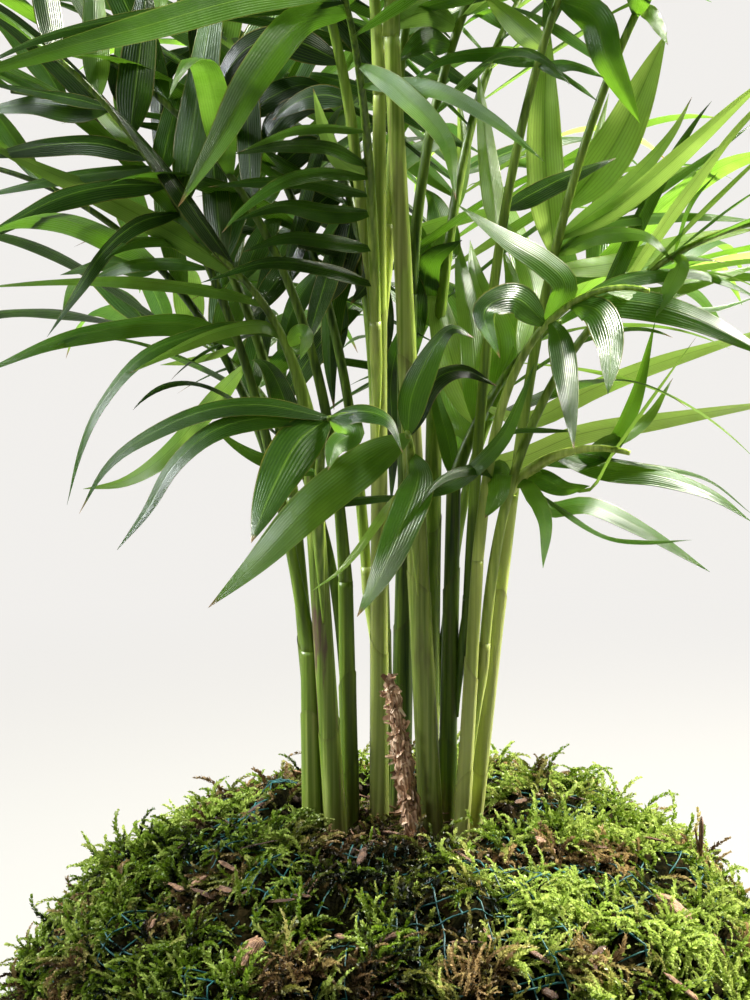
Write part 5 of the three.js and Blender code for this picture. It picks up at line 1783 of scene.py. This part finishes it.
    def leaflets(self, frond: Frond, line: Line, number: int) -> Iterator[tuple[int, Leaflet]]:
        """The frond's numbered leaflets as the solid has them, each with the dodge that finds its tip."""
        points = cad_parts[f"frond_{number}"].data.vertices
        tree = KDTree(len(points))
        for index, vertex in enumerate(points):
            tree.insert(vertex.co, index)
        tree.balance()
        near = self.found_within * MM
        wanted = frond.laid(line) if frond.leaves else frond.paired(line, number)
        missing = 0
        for index, leaflet in enumerate(wanted):
            tries = (leaflet.dodged(*dodge) for dodge in DODGES)
            found = next((one for one in tries if tree.find(Vector(one.tip * MM))[2] < near), None)
            if found is None:
                missing += 1
            else:
                yield index, found
        if missing:
            log.info("frond_%d has no room for %d of its leaflets", number, missing)


# ---------------------------------------------------------------- small things on the ball


# The four larger splinters' lengths, widths and thicknesses.
CHIPS = ((9, 5, 2.2), (11, 4, 2), (12, 4.5, 2.2), (8, 6, 2))


@dataclass(frozen=True)
class Bit:
    """A bit of bark that the photograph shows, from end to end in its pixels.

    Lift is how far it lies out of the moss, and raised is how much further its second end does.
    """

    start: tuple[float, float]
    end: tuple[float, float]
    wide: float
    tone: float = 0.15
    lift: float = 2.2
    raised: float = 0.0


BITS = (
    Bit((165, 885), (191, 899), 2.2, 0.30), Bit((194, 893), (212, 885), 3.0, 0.32),
    Bit((218, 888), (234, 896), 2.2, 0.22), Bit((198, 899), (216, 902), 2.2, 0.10),
    Bit((224, 870), (240, 876), 1.8, 0.25), Bit((240, 860), (288, 851), 1.2, 0.05),
    Bit((246, 812), (268, 802), 3.2, -0.02), Bit((534, 849), (556, 858), 3.0, 0.28),
    Bit((455, 861), (474, 871), 1.6, 0.12), Bit((590, 846), (604, 852), 1.8, 0.20),
    Bit((662, 976), (692, 1003), 2.6, 0.25), Bit((526, 955), (546, 967), 1.8, 0.22),
    Bit((584, 968), (606, 950), 2.4, -0.02), Bit((580, 962), (600, 974), 2.6, -0.06),
    Bit((360, 872), (366, 854), 2.6, 0.05), Bit((336, 938), (346, 948), 2.4, 0.15),
    Bit((452, 946), (478, 952), 1.0, 0.15), Bit((380, 944), (404, 936), 2.4, 0.05),
    Bit((708, 938), (724, 956), 2.2, 0.20), Bit((268, 902), (300, 908), 1.8, 0.0),
    Bit((296, 900), (314, 906), 1.4, 0.1), Bit((700, 858), (684, 840), 4.6, 0.08, 1.5, 8.0),
    Bit((696, 862), (684, 846), 2.0, 0.34, 2.0, 4.0), Bit((500, 800), (528, 804), 2.4, 0.05),
    Bit((560, 796), (590, 790), 2.6, -0.05), Bit((640, 842), (660, 850), 1.8, 0.15),
    Bit((545, 990), (560, 1000), 3.0, 0.05), Bit((400, 800), (384, 790), 1.6, 0.2),
)


@dataclass
class Litter:
    """What lies on the ball: bark splinters, crumbs of soil, dry fibres, and the dead sheath."""

    ball: Ball
    splinters: int = 26
    crumbs: int = 1700
    fibres: int = 260
    flakes: int = 240
    narrow: float = 0.62  # a bit's true width over the one that its row gives
    flat: float = 0.26  # a bit's thickness over the same
    splinter_sizes: tuple[tuple[float, float], ...] = ((3.0, 8.0), (0.7, 1.7), (0.3, 0.7))
    crumb_sizes: tuple[float, float] = (0.4, 1.7)
    fibre_lengths: tuple[float, float] = (5.0, 16.0)
    fibre_radii: tuple[float, float] = (0.10, 0.26)
    sheath_foot: tuple[float, float] = (6.0, -14.0)  # where the dead sheath stands, as x and y
    sheath_sunk: float = 8.0
    sheath_line: tuple[float, ...] = (188.0, 84.0, 80.0, 54.0, 1.0)  # as a line's values after its start
    seed: int = 81

    def build(self) -> None:
        """Makes all the litter."""
        for number, size in enumerate(CHIPS, 1):
            self.chip(number, size)
        self.scatter_splinters()
        self.lay_bits()
        self.scatter_crumbs()
        self.scatter_fibres()
        self.dry_sheath()

    def splinter(self, shape: Shape, middle: Array, axes: Array, size: tuple[float, float, float],
                 draw: np.random.Generator, tone: float) -> None:
        """A split piece of bark: a flat rod with ragged ends and a bent back.

        Args:
            shape: what it is added to
            middle: its middle
            axes: its long, wide and thick ways, as rows
            size: along those ways
            draw: for its raggedness
            tone: how pale it is
        """
        rings, sides = 9, 10
        share = np.linspace(-1, 1, rings)[:, None]
        turn = (2 * np.pi * np.arange(sides) / sides)[None, :]
        taper = np.clip(1.08 - 0.8 * np.abs(share) ** draw.uniform(2.5, 6), 0.12, 1)
        ragged = 1 + 0.35 * draw.uniform(-1, 1, (1, sides))
        ragged = ragged + 0.16 * draw.uniform(-1, 1, (rings, sides))
        x = share + 0.10 * draw.uniform(-1, 1, (1, sides)) * np.abs(share)
        y = np.cos(turn) * taper * ragged
        z = np.sign(np.sin(turn)) * np.abs(np.sin(turn)) ** 0.6 * taper * ragged + 0.25 * (1 - share**2)
        local = np.stack([x + 0 * y, y, z], axis=-1) * np.array(size) * 0.5
        shape.tube(middle + local @ axes, tone=tone, across=np.broadcast_to(y, (rings, sides)))

    def chip(self, number: int, size: tuple[float, float, float]) -> None:
        """One of the four larger splinters, where its solid lies."""
        node = f"bark_chip_{number}"
        corners = np.array([vertex.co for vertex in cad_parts[node].data.vertices]) / MM
        middle = corners.mean(axis=0)
        _, _, axes = np.linalg.svd(corners - middle, full_matrices=False)
        shape = Shape()
        draw = np.random.default_rng(self.seed + number)
        self.splinter(shape, middle, axes, size, draw, 0.3)
        shape.piece(f"bark_splinter_{number}", BARK, Slot.DRY, node)

    def axes_on(self, row: float, turn: float, spin: float, tip: float) -> Array:
        """Axes of something that lies on the moss, spun round and tipped up."""
        out = self.ball.out_of(row, turn)
        long = turned(unit(np.cross(UP, out)), out, spin)
        wide = np.cross(out, long)
        long = turned(long, wide, -tip)
        return np.stack([long, wide, np.cross(long, wide)])

    def scatter_splinters(self) -> None:
        """Small splinters all over the moss."""
        draw = np.random.default_rng(self.seed + 10)
        rows, turns = self.ball.scatter(self.splinters, (2.0, self.ball.rows), draw)
        shape = Shape()
        for row, turn in zip(rows, turns):
            size = tuple(draw.uniform(*limits) for limits in self.splinter_sizes)
            axes = self.axes_on(row, turn, draw.uniform(0, 360), draw.normal(4, 16))
            middle = self.ball.mossy(row, turn, draw.uniform(0.2, 1.6))
            self.splinter(shape, middle, axes, size, draw, draw.uniform(-0.1, 0.35))
        shape.piece("bark_litter", BARK, Slot.DRY)

    def lay_bits(self) -> None:
        """The bits that the photograph shows on the moss, each from end to end."""
        draw = np.random.default_rng(self.seed + 15)
        shape = Shape()
        for bit in BITS:
            ends = []
            for pixel in (bit.start, bit.end):
                row, turn = self.ball.under(pixel)
                out = self.ball.out_of(row, turn)
                ends.append(self.ball.mossy(row, turn) + out * bit.lift)
            ends[1] = ends[1] + out * bit.raised
            long = ends[1] - ends[0]
            way, side = unit(long), unit(np.cross(out, long))
            axes = np.stack([way, side, np.cross(way, side)])
            size = (float(np.linalg.norm(long)), bit.wide * self.narrow, bit.wide * self.flat)
            self.splinter(shape, sum(ends) / 2, axes, size, draw, bit.tone)
        shape.piece("bark_bits", BARK, Slot.DRY)

    def scatter_crumbs(self) -> None:
        """Crumbs of soil between the stems and in the moss near them."""
        draw = np.random.default_rng(self.seed + 20)
        points = np.array([[1.0, 0, 0], [0, 1, 0], [-1, 0, 0], [0, -1, 0], [0, 0, 1], [0, 0, -1]])
        upper = [[side, (side + 1) % 4, 4] for side in range(4)]
        corners = np.array([*upper, *([second, first, 5] for first, second, _ in upper)])
        places = np.broadcast_to(np.array([[0.0, 0], [1, 0], [0.5, 1]]), (8, 3, 2))
        reach = self.ball.mouth * np.sqrt(draw.uniform(0, 1.35, self.crumbs))
        turn = draw.uniform(0, 2 * np.pi, self.crumbs)
        inside = reach < self.ball.mouth - self.ball.lip
        on_moss = self.ball.rim + 3.4 - 0.22 * (reach - self.ball.mouth)
        height = np.where(inside, self.ball.soil_height(reach), on_moss)
        middle = polar(reach, turn, height + draw.uniform(0, 1.6, self.crumbs))
        size = draw.uniform(*self.crumb_sizes, self.crumbs)[:, None, None]
        lumpy = draw.uniform(0.55, 1.25, (self.crumbs, 6, 1))
        shape = Shape()
        shape.stamp(middle[:, None] + points[None] * size * lumpy, [(corners, places)])
        shape.piece("soil_crumbs", EARTH, Slot.SOIL)

    def scatter_fibres(self) -> None:
        """Fine dry fibres round the stems, and a few standing up out of the moss."""
        draw = np.random.default_rng(self.seed + 30)
        shape = Shape()
        share = np.linspace(0, 1, 9)[:, None]
        for _ in range(self.fibres):
            reach = self.ball.mouth * math.sqrt(draw.uniform(0.02, 1.3))
            heading = heading_of(draw.uniform(0, 360))
            start = heading * reach + UP * (self.ball.soil_height(reach) + draw.uniform(0, 2.5))
            way = heading_of(draw.uniform(0, 360)) + UP * draw.uniform(-0.1, 0.55)
            curl = heading_of(draw.uniform(0, 360)) * draw.uniform(-5, 5) - UP * draw.uniform(0, 4)
            length = draw.uniform(*self.fibre_lengths)
            path = start + way * length * share + curl * share**2
            rings = rings_along(path, draw.uniform(*self.fibre_radii), 4)
            shape.tube(rings, tone=draw.uniform(-0.2, 0.3), across=0.0)
        shape.piece("dry_fibres", BARK, Slot.DRY)

    def dry_sheath(self) -> None:
        """The dead brown sheath: thin ragged layers on the line of its solid, crumbling into flakes."""
        draw = np.random.default_rng(self.seed + 40)
        height = self.ball.soil_height(math.hypot(*self.sheath_foot)) - self.sheath_sunk
        line = Line(np.array([*self.sheath_foot, height]), *self.sheath_line)
        shape = Shape()
        rows, columns = 60, 22
        for layer in range(3):
            tall = 1 - 0.15 * layer
            share = np.linspace(0, tall, rows)[:, None]
            turn = np.linspace(-1, 1, columns)[None, :] * math.radians(115 - 20 * layer) - 1.2 + 1.1 * layer
            path = line.path(0, line.length * tall, rows)
            radius = np.interp(share, [0, 0.3, 0.7, 0.93, 1], [2.2, 2.3, 1.9, 1.2, 0.4]) * (1 - 0.15 * layer)
            level = polar(1.0, turn)
            plain = path[:, None] + level * radius[..., None]
            crumple = 0.45 * hills(plain * np.array([1.6, 1.6, 0.7]), 3.2, 90 + layer)
            ragged = draw.uniform(-1, 1, (rows, 1)) * np.abs(np.linspace(-1, 1, columns))[None, :] ** 6 * 1.3
            points = plain + level * crumple[..., None] + np.cross(UP, level) * ragged[..., None]
            spread = np.broadcast_to(np.linspace(-1, 1, columns)[None, :], (rows, columns))
            shape.sheet(points, tone=0.17 + 0.18 * share - 0.12 * spread, across=spread)
        for _ in range(self.flakes):
            share = draw.uniform(0.12, 1.0) ** 0.8
            heading = heading_of(draw.uniform(120, 340))
            foot = line.at(line.length * share)[0] + heading * np.interp(share, [0, 0.7, 1], [2.2, 1.9, 0.5])
            long = heading * draw.uniform(0.1, 0.8) + UP * draw.uniform(-1, 0.7)
            long = unit(long + draw.normal(0, 0.3, 3))
            wide = unit(np.cross(long, draw.normal(size=3)))
            u, t = np.linspace(0, 1, 4)[:, None, None], np.linspace(-1, 1, 3)[None, :, None]
            curl = np.cross(long, wide) * (0.5 * t**2 + 0.5 * u**2) * draw.uniform(-0.6, 0.6)
            half = draw.uniform(0.4, 1.0) * (1 - 0.5 * u)
            flake = foot + long * u * draw.uniform(1.0, 3.0) + wide * t * half + curl
            shape.sheet(flake, tone=draw.uniform(0.1, 0.55), across=draw.uniform(-1, 1))
        shape.piece("dead_sheath", HUSK, Slot.DRY, "dry_sheath")


# ---------------------------------------------------------------- the studio


@dataclass
class Lamp:
    """A soft square lamp that looks at the plant."""

    name: str
    place: tuple[float, float, float]
    size: float
    watts: float
    colour: Colour
    aim: tuple[float, float, float] = (0.0, 0.0, 220.0)

    def build(self) -> None:
        """Hangs the lamp."""
        data = bpy.data.lights.new(self.name, "AREA")
        data.energy = self.watts
        data.color = self.colour
        data.size = self.size * MM
        lamp = bpy.data.objects.new(self.name, data)
        lamp.location = Vector(self.place) * MM
        lamp.rotation_euler = (Vector(self.aim) - Vector(self.place)).to_track_quat("-Z", "Y").to_euler()
        bpy.context.scene.collection.objects.link(lamp)


@dataclass
class Studio:
    """The camera at the photograph's place, a pale floor, pale air and soft lamps."""

    floor_radius: float = 4000.0
    floor_below: float = 0.02
    air_light: tuple[float, float] = (0.0, 0.15)  # its light from the dark side and from the bright side
    bright_side: tuple[float, float, float] = (0.5, 0.75, 0.43)
    lamps: tuple[Lamp, ...] = (
        Lamp("window_right", (930.0, 510.0, 1220.0), 260.0, 131.0, (1.0, 0.97, 0.88)),
        Lamp("window_left", (-1140.0, 180.0, 990.0), 370.0, 55.0, (0.94, 0.97, 1.0)),
        Lamp("window_near", (-600.0, -1000.0, 1100.0), 160.0, 7.0, (0.97, 0.98, 1.0)),
    )

    def build(self) -> None:
        """Sets up the camera first, and then the room."""
        self.camera()
        self.air()
        for lamp in self.lamps:
            lamp.build()
        self.floor()
        scene = bpy.context.scene
        scene.view_settings.view_transform = "Standard"
        scene.view_settings.look = "None"
        scene.cycles.max_bounces = 8
        scene.cycles.diffuse_bounces = 4
        scene.cycles.transmission_bounces = 4

    def camera(self) -> None:
        """The camera."""
        data = bpy.data.cameras.new("camera")
        data.sensor_width = 36.0
        data.lens = data.sensor_width / 2 / math.tan(math.radians(VIEW.tall_view / 2))
        data.clip_start = 0.02
        camera = bpy.data.objects.new("camera", data)
        camera.location = Vector(VIEW.eye) * MM
        camera.rotation_euler = (math.radians(90 + VIEW.tilt), 0, 0)
        bpy.context.scene.collection.objects.link(camera)
        bpy.context.scene.camera = camera

    def air(self) -> None:
        """The pale air all round."""
        world = bpy.data.worlds.new("pale_air")
        world.use_nodes = True
        tree = world.node_tree
        background = tree.nodes["Background"]
        background.inputs["Color"].default_value = (*FLOOR.air, 1.0)
        place = tree.nodes.new("ShaderNodeTexCoord")
        turned_to = tree.nodes.new("ShaderNodeVectorMath")
        turned_to.operation = "DOT_PRODUCT"
        turned_to.inputs[1].default_value = self.bright_side
        light = tree.nodes.new("ShaderNodeMapRange")
        for name, value in zip(("From Min", "From Max", "To Min", "To Max"), (-1.0, 1.0, *self.air_light)):
            light.inputs[name].default_value = value
        seen = tree.nodes.new("ShaderNodeLightPath")
        strength = tree.nodes.new("ShaderNodeMix")
        strength.inputs["B"].default_value = 1.0
        tree.links.new(place.outputs["Generated"], turned_to.inputs[0])
        tree.links.new(turned_to.outputs["Value"], light.inputs["Value"])
        tree.links.new(seen.outputs["Is Camera Ray"], strength.inputs["Factor"])
        tree.links.new(light.outputs["Result"], strength.inputs["A"])
        tree.links.new(strength.outputs["Result"], background.inputs["Strength"])
        bpy.context.scene.world = world

    def floor(self) -> None:
        """The floor, a round sheet."""
        turn = np.linspace(0, 2 * np.pi, 97)[None, :]
        reach = np.geomspace(1.0, self.floor_radius, 24)[:, None]
        shape = Shape()
        shape.sheet(polar(reach, turn, -self.floor_below))
        floor = bpy.data.objects.new("floor", shape.mesh("floor"))
        floor.data.materials.append(FLOOR.material())
        bpy.context.scene.collection.objects.link(floor)


def dress_solid(node: str, finish: Finish, slot: Slot) -> None:
    """Gives a solid that stays its finish."""
    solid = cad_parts[node]
    solid.data.materials.clear()
    solid.data.materials.append(finish.material())
    log.info("%s keeps its solid", node)


def main() -> None:
    """Builds the studio and the kokedama."""
    logging.basicConfig(level=logging.INFO, format="%(message)s")
    Studio().build()
    ball = Ball()
    dress_solid("soil_ball", EARTH, Slot.SOIL)
    Moss(ball).build()
    Net(ball).build()
    Litter(ball).build()
    Palms(ball).build()
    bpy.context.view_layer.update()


if __name__ == "__main__":
    main()
